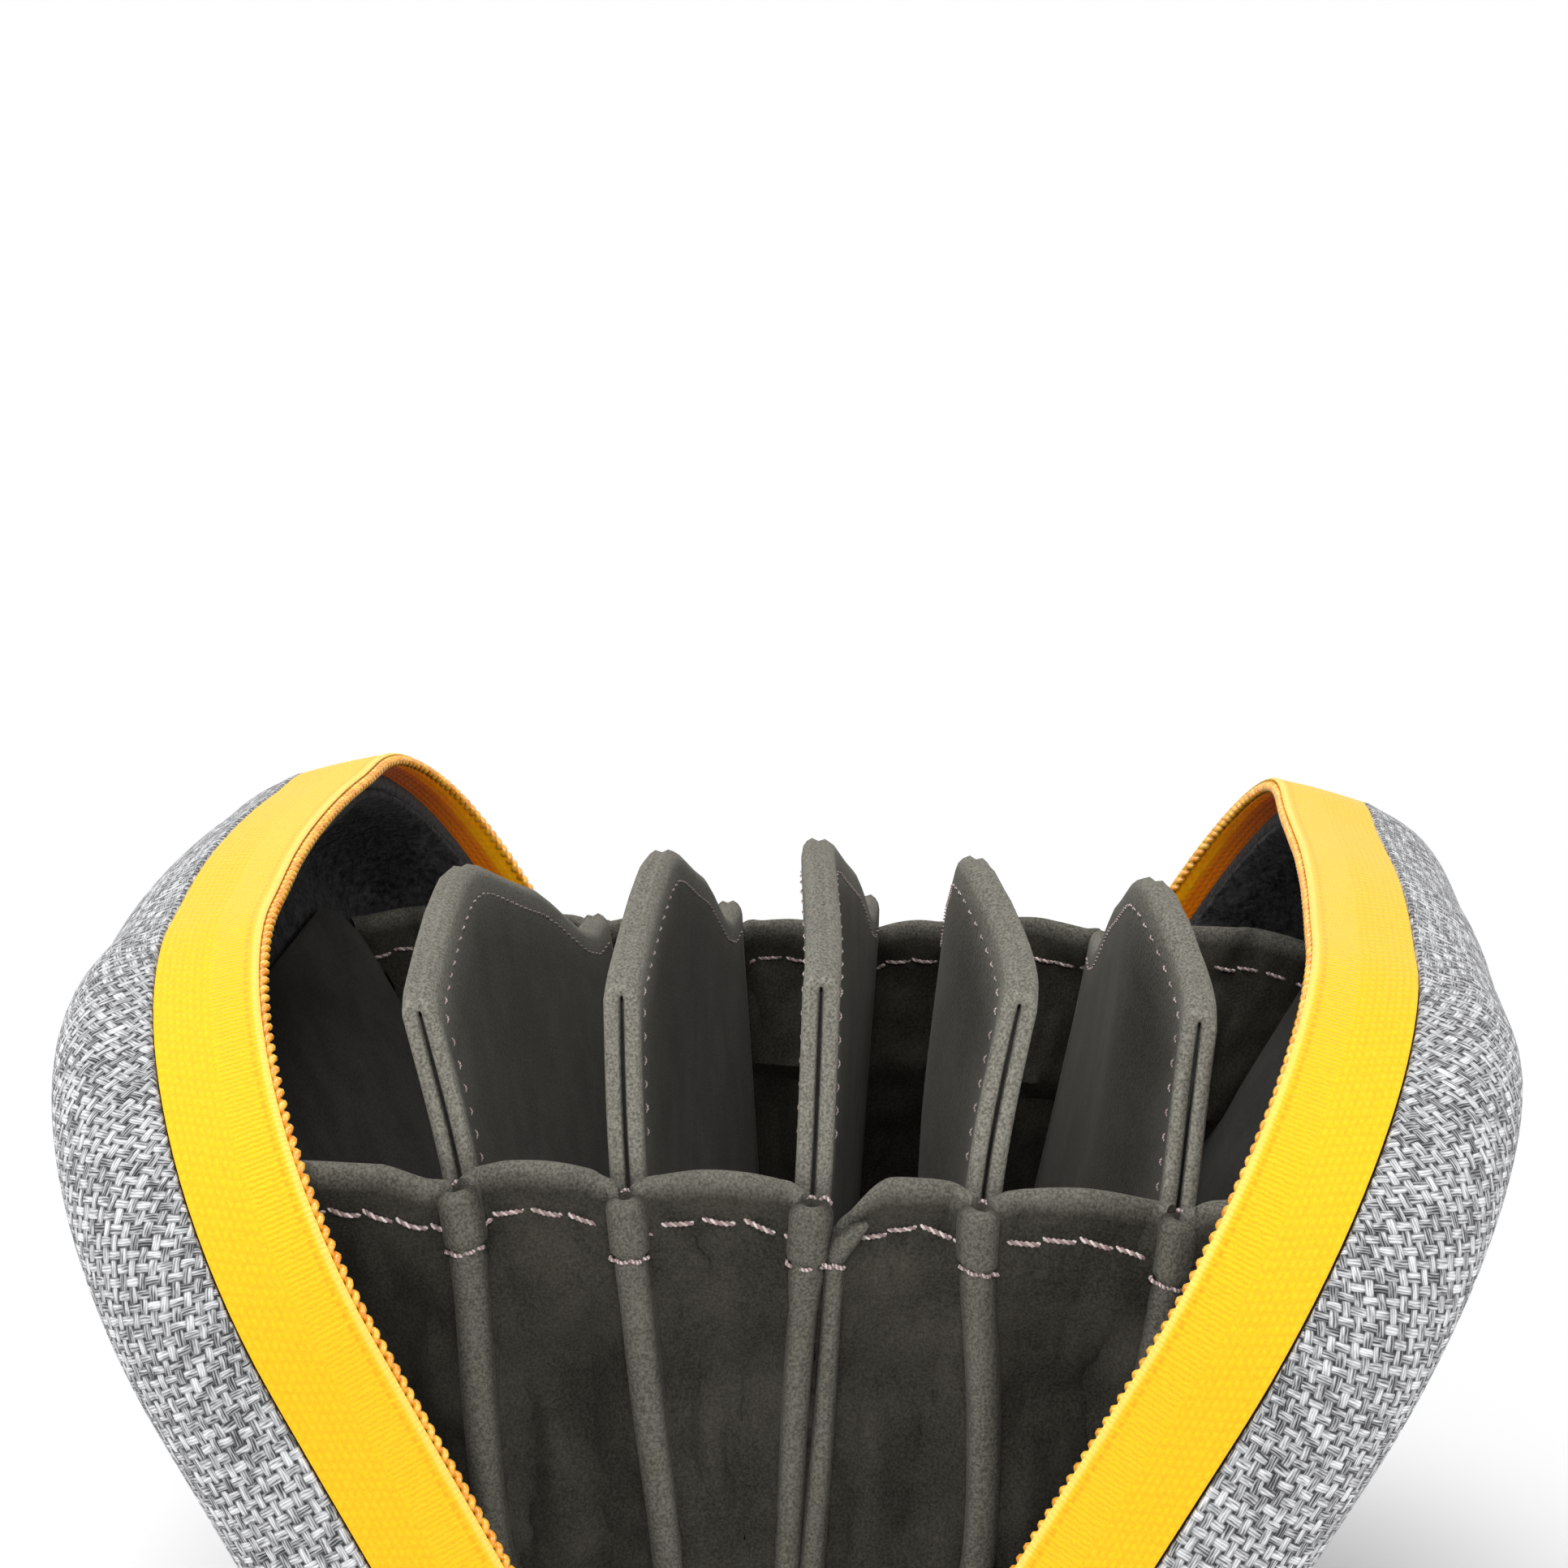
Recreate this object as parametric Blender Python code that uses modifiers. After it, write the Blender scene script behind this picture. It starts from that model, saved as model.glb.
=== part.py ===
"""Zip-up hard case for camera lens filters, standing open in a V with its accordion insert fanned out.

The hinge line runs along Y, under the middle of the case. The two moulded halves and the five suede
dividers are the leaves of the case, and each leaf swings about that line. A leaf is modelled standing
straight up, with Z along the leaf and X across it, and its empty on the hinge line leans it over.
The front of the case faces -Y. The case stands on the lower outer corners of its halves.
"""

from math import asin, cos, pi, radians, sin

import bmesh
import bpy

MM = 0.001
GAP = 0.3 * MM  # clearance between pieces that touch on the real case

# The mouth of each half is a rounded rectangle, with the zip along its edge.
CASE_WIDTH = 125 * MM
CASE_HEIGHT = 107.2 * MM
CORNER_RADIUS = 35.4 * MM
CORNER_STEPS = 6
HALF_LEAN = radians(28.4)

# Zip: half of a coil on each half's edge, and the yellow tape behind it, which flares outwards.
COIL_RADIUS = 0.85 * MM
COIL_SETBACK = 0.55 * MM
RIM_CLEARANCE = 0.15 * MM
TAPE_REACH = 10.8 * MM
TAPE_FLARE = 2.8 * MM
TAPE_CROWN = 0.2 * MM
TAPE_THICKNESS = 0.9 * MM
HINGE_INSET = 1.1 * MM  # from where the lower corners start to the ends of the hinge
HINGE_WIDTH = CASE_WIDTH - 2 * (CORNER_RADIUS + HINGE_INSET)
HINGE_FOLD_RADIUS = 1 * MM

# Moulded shell: woven cover over foam core over fleece lining.
SHELL_DEPTH = 25 * MM
COVER_SPREAD = 3 * MM
COVER_SIDE = 3.9 * MM  # straight stretch of the cover between the tape and the back's rounding
BACK_ROUNDING_SIDEWAYS = 8 * MM
BACK_STEPS = 5
COVER_THICKNESS = 1 * MM
CORE_THICKNESS = 2.2 * MM
LINING_THICKNESS = 0.9 * MM
CORE_SETBACK = 5.6 * MM

# Insert: dividers with a stiffening board each, ribs on their edges, gussets between the ribs.
INSERT_SIDE_ROOM = 13.5 * MM
INSERT_WIDTH = CASE_WIDTH - 2 * INSERT_SIDE_ROOM
FLOOR_HEIGHT = 12 * MM
FOOT_RADIUS = 12 * MM
FOOT_STEPS = 3
DIVIDER_THICKNESS = 3.4 * MM
DIVIDER_FOLD = 1.8 * MM
BOARD_THICKNESS = 0.6 * MM
BOARD_MARGIN = 1 * MM
ROOT_CLEARANCE = 0.5 * MM
RIB_RADIUS = 2 * MM
RIB_TOP_RADIUS_SHARE = 0.8
GUSSET_TOP_ROOM = 34.2 * MM
GUSSET_LEVEL = CASE_HEIGHT - GUSSET_TOP_ROOM
GUSSET_THICKNESS = 1.4 * MM
GUSSET_CLEARANCE = 0.6 * MM
GUSSET_STANDOFF = 1.2 * MM
GUSSET_ARCH = 2.2 * MM
GUSSET_BULGE_SHARE = 0.12
GUSSET_ROWS = 5
GUSSET_COLUMNS = 6
FLOOR_THICKNESS = 1.2 * MM
FLOOR_SAG_SHARE = 0.1
FLOOR_MARGIN = 0.7 * MM
FLOOR_COLUMNS = 4
PANEL_THICKNESS = 1.3 * MM
PANEL_TOP_ROOM = 13.2 * MM
PANEL_HEIGHT = CASE_HEIGHT - PANEL_TOP_ROOM
PANEL_TOP_RADIUS = 10 * MM

# Each divider's lean in the open case, and how much lower than the case's height its top edge
# stands over the hinge line, from left to right. In the closed case they stand a pitch apart.
DIVIDERS = (
    (radians(-10.5), 12.2 * MM),
    (radians(-3.9), 10 * MM),
    (radians(2.9), 7.7 * MM),
    (radians(9.9), 9.6 * MM),
    (radians(15.1), 13.9 * MM),
)
MIDDLE_DIVIDER = 3
END_POCKET_ROOM = 2.7 * MM  # from an end panel to the middle of the next divider, in the closed case

# Top edge of a divider, from front to back: shares of its width and of its height.
TOP_EDGE_SHARES = (
    (-0.5, 0.925),
    (-0.48, 0.94),
    (-0.42, 0.959),
    (-0.375, 0.972),
    (-0.325, 0.988),
    (-0.255, 1),
    (-0.2, 0.995),
    (-0.15, 0.98),
    (-0.08, 0.954),
    (0, 0.924),
    (0.1, 0.889),
    (0.18, 0.853),
    (0.25, 0.818),
    (0.32, 0.784),
    (0.4, 0.758),
    (0.5, 0.75),
)

# Zip sliders, parked at both ends of the zip, and their pulls.
SLIDER_ANGLE = radians(10.4)
SLIDER_LENGTH = 9 * MM
NECK_WIDTH = 1.8 * MM
INNER_PLATE_WIDTH = 6 * MM
INNER_PLATE_THICKNESS = 1.2 * MM
INNER_PLATE_CLEARANCE = 1.1 * MM
OUTER_PLATE_WIDTH = 5.4 * MM
OUTER_PLATE_THICKNESS = 1.2 * MM
OUTER_PLATE_CLEARANCE = 2.9 * MM
BRIDGE_WIDTH = 1.6 * MM
BRIDGE_LENGTH = 4.4 * MM
BRIDGE_WALL = 0.7 * MM
BRIDGE_ROOM = 2.1 * MM
PULL_LENGTH = 24 * MM
PULL_THICKNESS = 1 * MM
PULL_WIDTH = 6 * MM
PULL_NECK_WIDTH = 4.6 * MM
PULL_WINDOW_WIDTH = 2.4 * MM
PULL_WINDOW_LENGTH = 2.9 * MM
PULL_TIP_STEPS = 6
PULL_FLOOR_CLEARANCE = 0.5 * MM

CUTTER_OVERRUN = 5 * MM
TUBE_RESOLUTION = 2
SMOOTH_ANGLE = radians(40)

FRONT = -1
BACK = 1
LEFT = -1
RIGHT = 1


# Scene and collections


def clear_scene():
    for obj in list(bpy.data.objects):
        bpy.data.objects.remove(obj)


def add_collection(name):
    collection = bpy.data.collections.new(name)
    bpy.context.scene.collection.children.link(collection)
    return collection


def add_empty(name, parent=None, location=(0, 0, 0), rotation=(0, 0, 0)):
    empty = bpy.data.objects.new(name, None)
    empty.parent = parent
    empty.location = location
    empty.rotation_euler = rotation
    case_parts.objects.link(empty)
    return empty


def add_material(name, colour, roughness, metallic=0):
    material = bpy.data.materials.new(name)
    material.use_nodes = True
    shader = material.node_tree.nodes["Principled BSDF"]
    shader.inputs["Base Color"].default_value = (*colour, 1)
    shader.inputs["Roughness"].default_value = roughness
    shader.inputs["Metallic"].default_value = metallic
    return material


def add_part(name, data, material, parent, location=(0, 0, 0), rotation=(0, 0, 0)):
    """Puts a finished mesh or curve in the case as a named part."""
    data.materials.append(material)
    part = bpy.data.objects.new(name, data)
    part.parent = parent
    part.location = location
    part.rotation_euler = rotation
    case_parts.objects.link(part)
    return part


# Shapes that several parts share


def arc(centre, radius, start, stop, steps):
    """Points round an arc from the start angle to the stop angle."""
    angles = [start + (stop - start) * k / steps for k in range(steps + 1)]
    return [(centre[0] + radius * cos(a), centre[1] + radius * sin(a)) for a in angles]


def rim_outline(spread):
    """The mouth as (y, height) points, moved outwards by spread, anticlockwise from low at the back."""
    across = CASE_WIDTH / 2 - CORNER_RADIUS
    low, high = CORNER_RADIUS, CASE_HEIGHT - CORNER_RADIUS
    corners = ((across, low), (across, high), (-across, high), (-across, low))
    points = []
    for k, centre in enumerate(corners):
        start = (k - 1) * pi / 2
        points += arc(centre, CORNER_RADIUS + spread, start, start + pi / 2, CORNER_STEPS)
    return points


def zip_outline(spread):
    """The stretch of the mouth that the zip follows: all but the hinge."""
    end = HINGE_WIDTH / 2 + GAP
    return [(end, -spread), *rim_outline(spread), (-end, -spread)]


def hinge_outline(spread):
    return [(-HINGE_WIDTH / 2, -spread), (HINGE_WIDTH / 2, -spread)]


def to_mesh(name, bm):
    """The finished mesh, shaded smooth but for its real corners."""
    mesh = bpy.data.meshes.new(name)
    bm.to_mesh(mesh)
    bm.free()
    mesh.shade_smooth()
    mesh.set_sharp_from_angle(angle=SMOOTH_ANGLE)
    return mesh


def band_mesh(name, section, outline, side):
    """A closed section of (spread, depth) points, swept along an open stretch of the mouth."""
    bm = bmesh.new()
    strands = []
    for spread, depth in section:
        strands.append([bm.verts.new((side * depth, y, z)) for y, z in outline(spread)])
    for first, second in zip(strands, strands[1:] + strands[:1]):
        for k in range(len(first) - 1):
            bm.faces.new((first[k], first[k + 1], second[k + 1], second[k]))
    for end in (0, -1):
        bm.faces.new([strand[end] for strand in strands])
    bmesh.ops.recalc_face_normals(bm, faces=bm.faces)
    return to_mesh(name, bm)


def pan_mesh(name, profile, side):
    """A dish open at the mouth: loops along a profile of (spread, depth) points, and a flat back."""
    bm = bmesh.new()
    loops = []
    for spread, depth in profile:
        loops.append([bm.verts.new((side * depth, y, z)) for y, z in rim_outline(spread)])
    for first, second in zip(loops, loops[1:]):
        for k in range(len(first)):
            bm.faces.new((first[k - 1], first[k], second[k], second[k - 1]))
    bm.faces.new(loops[-1])
    if side == LEFT:
        bmesh.ops.reverse_faces(bm, faces=bm.faces)
    return to_mesh(name, bm)


def grid_mesh(name, rows):
    """A sheet through rows of points."""
    bm = bmesh.new()
    grid = [[bm.verts.new(point) for point in row] for row in rows]
    for low, high in zip(grid, grid[1:]):
        for k in range(len(low) - 1):
            bm.faces.new((low[k], low[k + 1], high[k + 1], high[k]))
    return to_mesh(name, bm)


def add_wall(part, thickness, offset):
    wall = part.modifiers.new("Wall", "SOLIDIFY")
    wall.thickness = thickness
    wall.offset = offset
    wall.use_even_offset = True
    wall.use_quality_normals = True


def flat_curve(name, outlines, thickness):
    """A flat plate: an outline and its windows as a filled curve, given its thickness by extrusion."""
    curve = bpy.data.curves.new(name, "CURVE")
    curve.dimensions = "2D"
    curve.fill_mode = "BOTH"
    curve.extrude = thickness / 2
    for outline in outlines:
        spline = curve.splines.new("POLY")
        spline.points.add(len(outline) - 1)
        for point, place in zip(spline.points, outline):
            point.co = (*place, 0, 1)
        spline.use_cyclic_u = True
    return curve


def tube_curve(name, points, radius):
    """A round tube with closed ends along a line of points."""
    curve = bpy.data.curves.new(name, "CURVE")
    curve.dimensions = "3D"
    curve.bevel_depth = radius
    curve.bevel_resolution = TUBE_RESOLUTION
    curve.use_fill_caps = True
    spline = curve.splines.new("POLY")
    spline.points.add(len(points) - 1)
    for point, place in zip(spline.points, points):
        point.co = (*place, 1)
    return curve


def plate_mesh(name, outline, thickness):
    """A flat plate of an outline in XY, as a mesh that can be cut or joined."""
    bm = bmesh.new()
    face = bm.faces.new([bm.verts.new((x, y, -thickness / 2)) for x, y in outline])
    extruded = bmesh.ops.extrude_face_region(bm, geom=[face])["geom"]
    top = [element for element in extruded if isinstance(element, bmesh.types.BMVert)]
    bmesh.ops.translate(bm, verts=top, vec=(0, 0, thickness))
    bmesh.ops.recalc_face_normals(bm, faces=bm.faces)
    return to_mesh(name, bm)


def add_tool(name, mesh, parent, location=(0, 0, 0), rotation=(0, 0, 0)):
    """A hidden solid that another part is cut by or joined with."""
    tool = bpy.data.objects.new(name, mesh)
    tool.parent = parent
    tool.location = location
    tool.rotation_euler = rotation
    tool.hide_render = True
    tool.display_type = "WIRE"
    tools.objects.link(tool)
    return tool


def add_boolean(part, tool, operation):
    boolean = part.modifiers.new(tool.name, "BOOLEAN")
    boolean.operation = operation
    boolean.solver = "EXACT"
    boolean.object = tool


# Turns of a flat curve, which is drawn in XY: upright across X, or standing across Y
ACROSS_X = (pi / 2, 0, pi / 2)
ACROSS_Y = (pi / 2, 0, 0)


# The moulded halves


def tape_spread(depth):
    """How far the outer face of the zip tape stands out from the mouth's edge."""
    return TAPE_FLARE * depth / TAPE_REACH


def tape_section(start):
    """Section of the tape, or of the hinge flap that continues it, from start to the cover."""
    middle = (start + TAPE_REACH) / 2
    outer = [
        (tape_spread(start), start),
        (tape_spread(middle) + TAPE_CROWN, middle),
        (TAPE_FLARE, TAPE_REACH),
    ]
    inner = [(spread - TAPE_THICKNESS, depth) for spread, depth in reversed(outer)]
    return outer + inner


def back_profile(inset):
    """The rounded back corner of a shell layer whose outer face lies inset within the cover's."""
    flat_spread = COVER_SPREAD - BACK_ROUNDING_SIDEWAYS
    side_depth = TAPE_REACH + GAP + COVER_SIDE
    sideways = BACK_ROUNDING_SIDEWAYS - inset
    deep = SHELL_DEPTH - side_depth - inset
    quarter = arc((0, 0), 1, 0, pi / 2, BACK_STEPS)
    return [(flat_spread + sideways * across, side_depth + deep * along) for across, along in quarter]


def cover_profile():
    return [(COVER_SPREAD, TAPE_REACH + GAP), *back_profile(0)]


def inner_profile(inset, start):
    """Profile of the core or lining: under the tape first, then under the cover."""
    under_tape = inset - COVER_THICKNESS + TAPE_THICKNESS
    return [
        (tape_spread(start) - under_tape, start),
        (TAPE_FLARE - under_tape, TAPE_REACH),
        *back_profile(inset),
    ]


def add_half(side, prefix):
    """One moulded half: cover, core and lining, zip tape and coil, hinge flap and end panel."""
    axis = add_empty(prefix + "_half_axis", case, rotation=(0, side * HALF_LEAN, 0))

    name = prefix + "_cover"
    cover = add_part(name, pan_mesh(name, cover_profile(), side), weave, axis)
    add_wall(cover, COVER_THICKNESS, -1)

    core_inset = COVER_THICKNESS + GAP
    name = prefix + "_core"
    core = add_part(name, pan_mesh(name, inner_profile(core_inset, CORE_SETBACK), side), foam, axis)
    add_wall(core, CORE_THICKNESS, -1)

    lining_inset = core_inset + CORE_THICKNESS + GAP
    name = prefix + "_lining"
    lining = add_part(name, pan_mesh(name, inner_profile(lining_inset, CORE_SETBACK), side), fleece, axis)
    add_wall(lining, LINING_THICKNESS, -1)

    tape_start = RIM_CLEARANCE + 2 * COIL_RADIUS + GAP
    name = prefix + "_zip_tape"
    add_part(name, band_mesh(name, tape_section(tape_start), zip_outline, side), zip_yellow, axis)

    flap_start = HINGE_FOLD_RADIUS + GAP
    name = prefix + "_hinge_flap"
    add_part(name, band_mesh(name, tape_section(flap_start), hinge_outline, side), black_fabric, axis)

    name = prefix + "_zip_coil"
    coil_depth = side * (RIM_CLEARANCE + COIL_RADIUS)
    coil_line = [(coil_depth, y, z) for y, z in coil_outline()]
    add_part(name, tube_curve(name, coil_line, COIL_RADIUS), coil_orange, axis)

    name = prefix + "_end_panel"
    panel = flat_curve(name, [panel_outline()], PANEL_THICKNESS)
    place = (side * (panel_face() + PANEL_THICKNESS / 2), 0, 0)
    add_part(name, panel, suede, axis, place, ACROSS_X)
    return cover


def coil_outline():
    """Line of the coil: it starts past the parked sliders."""
    slider_end = SLIDER_ANGLE + (SLIDER_LENGTH / 2 + 2 * GAP) / CORNER_RADIUS
    start = (CASE_WIDTH / 2 - CORNER_RADIUS) + CORNER_RADIUS * sin(slider_end)
    height = CORNER_RADIUS * (1 - cos(slider_end)) + COIL_SETBACK * cos(slider_end)
    middle = [point for point in rim_outline(-COIL_SETBACK) if point[1] > height + COIL_RADIUS]
    return [(start, height), *middle, (-start, height)]


def panel_face():
    """Depth of the end panel's inner face, in front of the lining's back."""
    layers = COVER_THICKNESS + CORE_THICKNESS + LINING_THICKNESS + 2 * GAP
    return SHELL_DEPTH - layers - GAP - PANEL_THICKNESS


def divider_pitch():
    return (panel_face() - END_POCKET_ROOM) / (MIDDLE_DIVIDER - 1)


def panel_outline():
    """End panel: feet rounded like the dividers', wider rounding at the top."""
    foot_y = INSERT_WIDTH / 2 - FOOT_RADIUS
    foot_z = FLOOR_HEIGHT + FOOT_RADIUS
    top_y = INSERT_WIDTH / 2 - PANEL_TOP_RADIUS
    top_z = PANEL_HEIGHT - PANEL_TOP_RADIUS
    return [
        *arc((foot_y, foot_z), FOOT_RADIUS, -pi / 2, 0, FOOT_STEPS),
        *arc((top_y, top_z), PANEL_TOP_RADIUS, 0, pi / 2, FOOT_STEPS),
        *arc((-top_y, top_z), PANEL_TOP_RADIUS, pi / 2, pi, FOOT_STEPS),
        *arc((-foot_y, foot_z), FOOT_RADIUS, pi, 3 * pi / 2, FOOT_STEPS),
    ]


# The dividers


def leaf_point(leaf, across, along):
    """(x, z) in the open case of a point on a leaf, from its place across and along the leaf."""
    lean, offset = leaf
    x = offset + across
    return x * cos(lean) + along * sin(lean), along * cos(lean) - x * sin(lean)


def leaf_height(leaf, level):
    """How far up the leaf it reaches a level over the hinge line."""
    lean, offset = leaf
    return (level + offset * sin(lean)) / cos(lean)


def top_edge(width, height, drop):
    """A divider's top edge from back to front, lowered by drop."""
    return [(share_y * width, share_z * height - drop) for share_y, share_z in reversed(TOP_EDGE_SHARES)]


def divider_outline(height, margin, drop, root=None):
    """Outline of a divider or its board. The middle divider also has a root down to the hinge."""
    width = INSERT_WIDTH - 2 * margin
    foot_y = INSERT_WIDTH / 2 - FOOT_RADIUS
    foot_z = FLOOR_HEIGHT + FOOT_RADIUS
    radius = FOOT_RADIUS - margin
    outline = arc((foot_y, foot_z), radius, -pi / 2, 0, FOOT_STEPS)
    outline += top_edge(width, height, drop)
    outline += arc((-foot_y, foot_z), radius, pi, 3 * pi / 2, FOOT_STEPS)
    if root:
        half, floor = HINGE_WIDTH / 2 - ROOT_CLEARANCE, FLOOR_HEIGHT + margin
        outline += [(-half, floor), (-half, root), (half, root), (half, floor)]
    return outline


def slot_outline(height, bottom):
    """The slot between a divider's two layers: open all round but under the fold of the top edge."""
    edge = top_edge(INSERT_WIDTH, height, DIVIDER_FOLD)
    reach = INSERT_WIDTH / 2 + CUTTER_OVERRUN
    low = bottom - CUTTER_OVERRUN
    return [(-reach, low), (reach, low), (reach, edge[0][1]), *edge, (-reach, edge[-1][1])]


def add_divider(number, leaf, top_room):
    """A divider: two suede layers folded over at the top, the board between them, and its ribs."""
    lean, offset = leaf
    height = leaf_height(leaf, CASE_HEIGHT - top_room)
    axis = add_empty(f"divider_{number}_axis", case, rotation=(0, lean, 0))
    place = (offset, 0, 0)
    root = HINGE_FOLD_RADIUS + GAP if number == MIDDLE_DIVIDER else None

    name = f"divider_{number}"
    outline = divider_outline(height, 0, 0, root)
    sleeve = add_part(name, plate_mesh(name, outline, DIVIDER_THICKNESS), suede, axis, place, ACROSS_X)
    name += "_slot"
    slot_mesh = plate_mesh(name, slot_outline(height, root or FLOOR_HEIGHT), BOARD_THICKNESS + 2 * GAP)
    slot = add_tool(name, slot_mesh, axis, place, ACROSS_X)
    add_boolean(sleeve, slot, "DIFFERENCE")

    name = f"divider_board_{number}"
    outline = divider_outline(height, BOARD_MARGIN, DIVIDER_FOLD + 2 * GAP)
    add_part(name, flat_curve(name, [outline], BOARD_THICKNESS), board, axis, place, ACROSS_X)

    low, high = FLOOR_HEIGHT + FOOT_RADIUS, leaf_height(leaf, GUSSET_LEVEL)
    for end, prefix in ((FRONT, "front"), (BACK, "back")):
        name = f"{prefix}_rib_{number}"
        y = end * (INSERT_WIDTH / 2 + GAP + RIB_RADIUS)
        shoulder = high - RIB_RADIUS
        rib = tube_curve(name, [(offset, y, low), (offset, y, shoulder), (offset, y, high)], RIB_RADIUS)
        rib.splines[0].points[2].radius = RIB_TOP_RADIUS_SHARE
        add_part(name, rib, suede, axis)


# The gussets and floors between neighbouring leaves


def mix(first, second, share):
    return tuple(a + (b - a) * share for a, b in zip(first, second))


def gusset_mesh(name, left, right, end):
    """A suede panel from rib to rib. It bulges away from the pockets, and its top edge arches."""
    (left_leaf, left_edge), (right_leaf, right_edge) = left, right
    low = FLOOR_HEIGHT + FOOT_RADIUS + GAP
    rows = []
    for row in range(GUSSET_ROWS + 1):
        up = row / GUSSET_ROWS
        ends = [
            leaf_point(leaf, edge, low + (leaf_height(leaf, GUSSET_LEVEL) - low) * up)
            for leaf, edge in ((left_leaf, left_edge), (right_leaf, right_edge))
        ]
        bulge = GUSSET_BULGE_SHARE * (ends[1][0] - ends[0][0])
        points = []
        for column in range(GUSSET_COLUMNS + 1):
            share = column / GUSSET_COLUMNS
            swell = sin(pi * share)
            x, z = mix(*ends, share)
            y = end * (INSERT_WIDTH / 2 + GUSSET_STANDOFF + bulge * swell)
            points.append((x, y, z + GUSSET_ARCH * swell * up**GUSSET_ROWS))
        rows.append(points)
    return grid_mesh(name, rows)


def floor_mesh(name, left, right):
    """The strip that closes a pocket from below, round the dividers' feet. It sags between them."""
    (left_leaf, left_edge), (right_leaf, right_edge) = left, right
    foot_y = INSERT_WIDTH / 2 - FOOT_RADIUS
    foot_z = FLOOR_HEIGHT + FOOT_RADIUS
    radius = FOOT_RADIUS - FLOOR_MARGIN
    rows = []
    for centre_y, start in ((-foot_y, pi), (foot_y, 3 * pi / 2)):
        for step in range(FOOT_STEPS + 1):
            angle = start + pi / 2 * step / FOOT_STEPS
            along = foot_z + radius * sin(angle)
            ends = leaf_point(left_leaf, left_edge, along), leaf_point(right_leaf, right_edge, along)
            deepest_sag = FLOOR_SAG_SHARE * (ends[1][0] - ends[0][0])
            points = []
            for column in range(FLOOR_COLUMNS + 1):
                share = column / FLOOR_COLUMNS
                sag = deepest_sag * sin(pi * share)
                x, z = mix(*ends, share)
                points.append((x, centre_y + (radius + sag) * cos(angle), z + sag * sin(angle)))
            rows.append(points)
    return grid_mesh(name, rows)


def add_pocket(number, left, right):
    """The soft pieces between two leaves, each given as (lean, offset, is it an end panel)."""
    gusset_ends, floor_ends = [], []
    for (lean, offset, is_panel), towards in ((left, 1), (right, -1)):
        leaf = lean, offset
        gusset_edge = GUSSET_CLEARANCE if is_panel else RIB_RADIUS + GUSSET_CLEARANCE
        floor_edge = GUSSET_CLEARANCE if is_panel else DIVIDER_THICKNESS / 2 + GUSSET_CLEARANCE
        gusset_ends.append((leaf, towards * gusset_edge))
        floor_ends.append((leaf, towards * floor_edge))
    for end, prefix in ((FRONT, "front"), (BACK, "back")):
        name = f"{prefix}_gusset_{number}"
        gusset = add_part(name, gusset_mesh(name, *gusset_ends, end), suede, case)
        add_wall(gusset, GUSSET_THICKNESS, 0)
    name = f"pocket_floor_{number}"
    floor = add_part(name, floor_mesh(name, *floor_ends), suede, case)
    add_wall(floor, FLOOR_THICKNESS, 0)


# The zip sliders and pulls


def slider_section():
    """Section across the zip: inner plate, neck between the tapes, outer plate."""
    inner, neck, outer = INNER_PLATE_WIDTH / 2, NECK_WIDTH / 2, OUTER_PLATE_WIDTH / 2
    inner_face = -INNER_PLATE_CLEARANCE
    outer_face = OUTER_PLATE_CLEARANCE
    right_half = [
        (inner, inner_face - INNER_PLATE_THICKNESS),
        (inner, inner_face),
        (neck, inner_face),
        (neck, outer_face),
        (outer, outer_face),
        (outer, outer_face + OUTER_PLATE_THICKNESS),
    ]
    return right_half + [(-x, z) for x, z in reversed(right_half)]


def bridge_outline():
    """The bridge over the pull's crossbar, with its feet sunk in the outer plate."""
    foot = OUTER_PLATE_CLEARANCE + OUTER_PLATE_THICKNESS / 2
    room = OUTER_PLATE_CLEARANCE + OUTER_PLATE_THICKNESS + BRIDGE_ROOM
    top = room + BRIDGE_WALL
    outer = BRIDGE_LENGTH / 2
    inner = outer - BRIDGE_WALL
    half = [(outer, top), (outer, foot), (inner, foot), (inner, room)]
    return half + [(-y, z) for y, z in reversed(half)]


def pull_outlines():
    """The pull: a crossbar, two arms past the bridge and a tab with a round tip; and its window."""
    bar = PULL_THICKNESS / 2
    neck, tab = PULL_NECK_WIDTH / 2, PULL_WIDTH / 2
    window, window_end = PULL_WINDOW_WIDTH / 2, bar + PULL_WINDOW_LENGTH
    shoulder = window_end + (tab - neck)
    tip = arc((0, PULL_LENGTH - tab), tab, 0, pi, PULL_TIP_STEPS)
    outer = [(neck, -bar), (neck, window_end), (tab, shoulder), *tip, (-tab, shoulder)]
    outer += [(-neck, window_end), (-neck, -bar)]
    hole = [(-window, bar), (-window, window_end), (window, window_end), (window, bar)]
    return [outer, hole]


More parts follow.
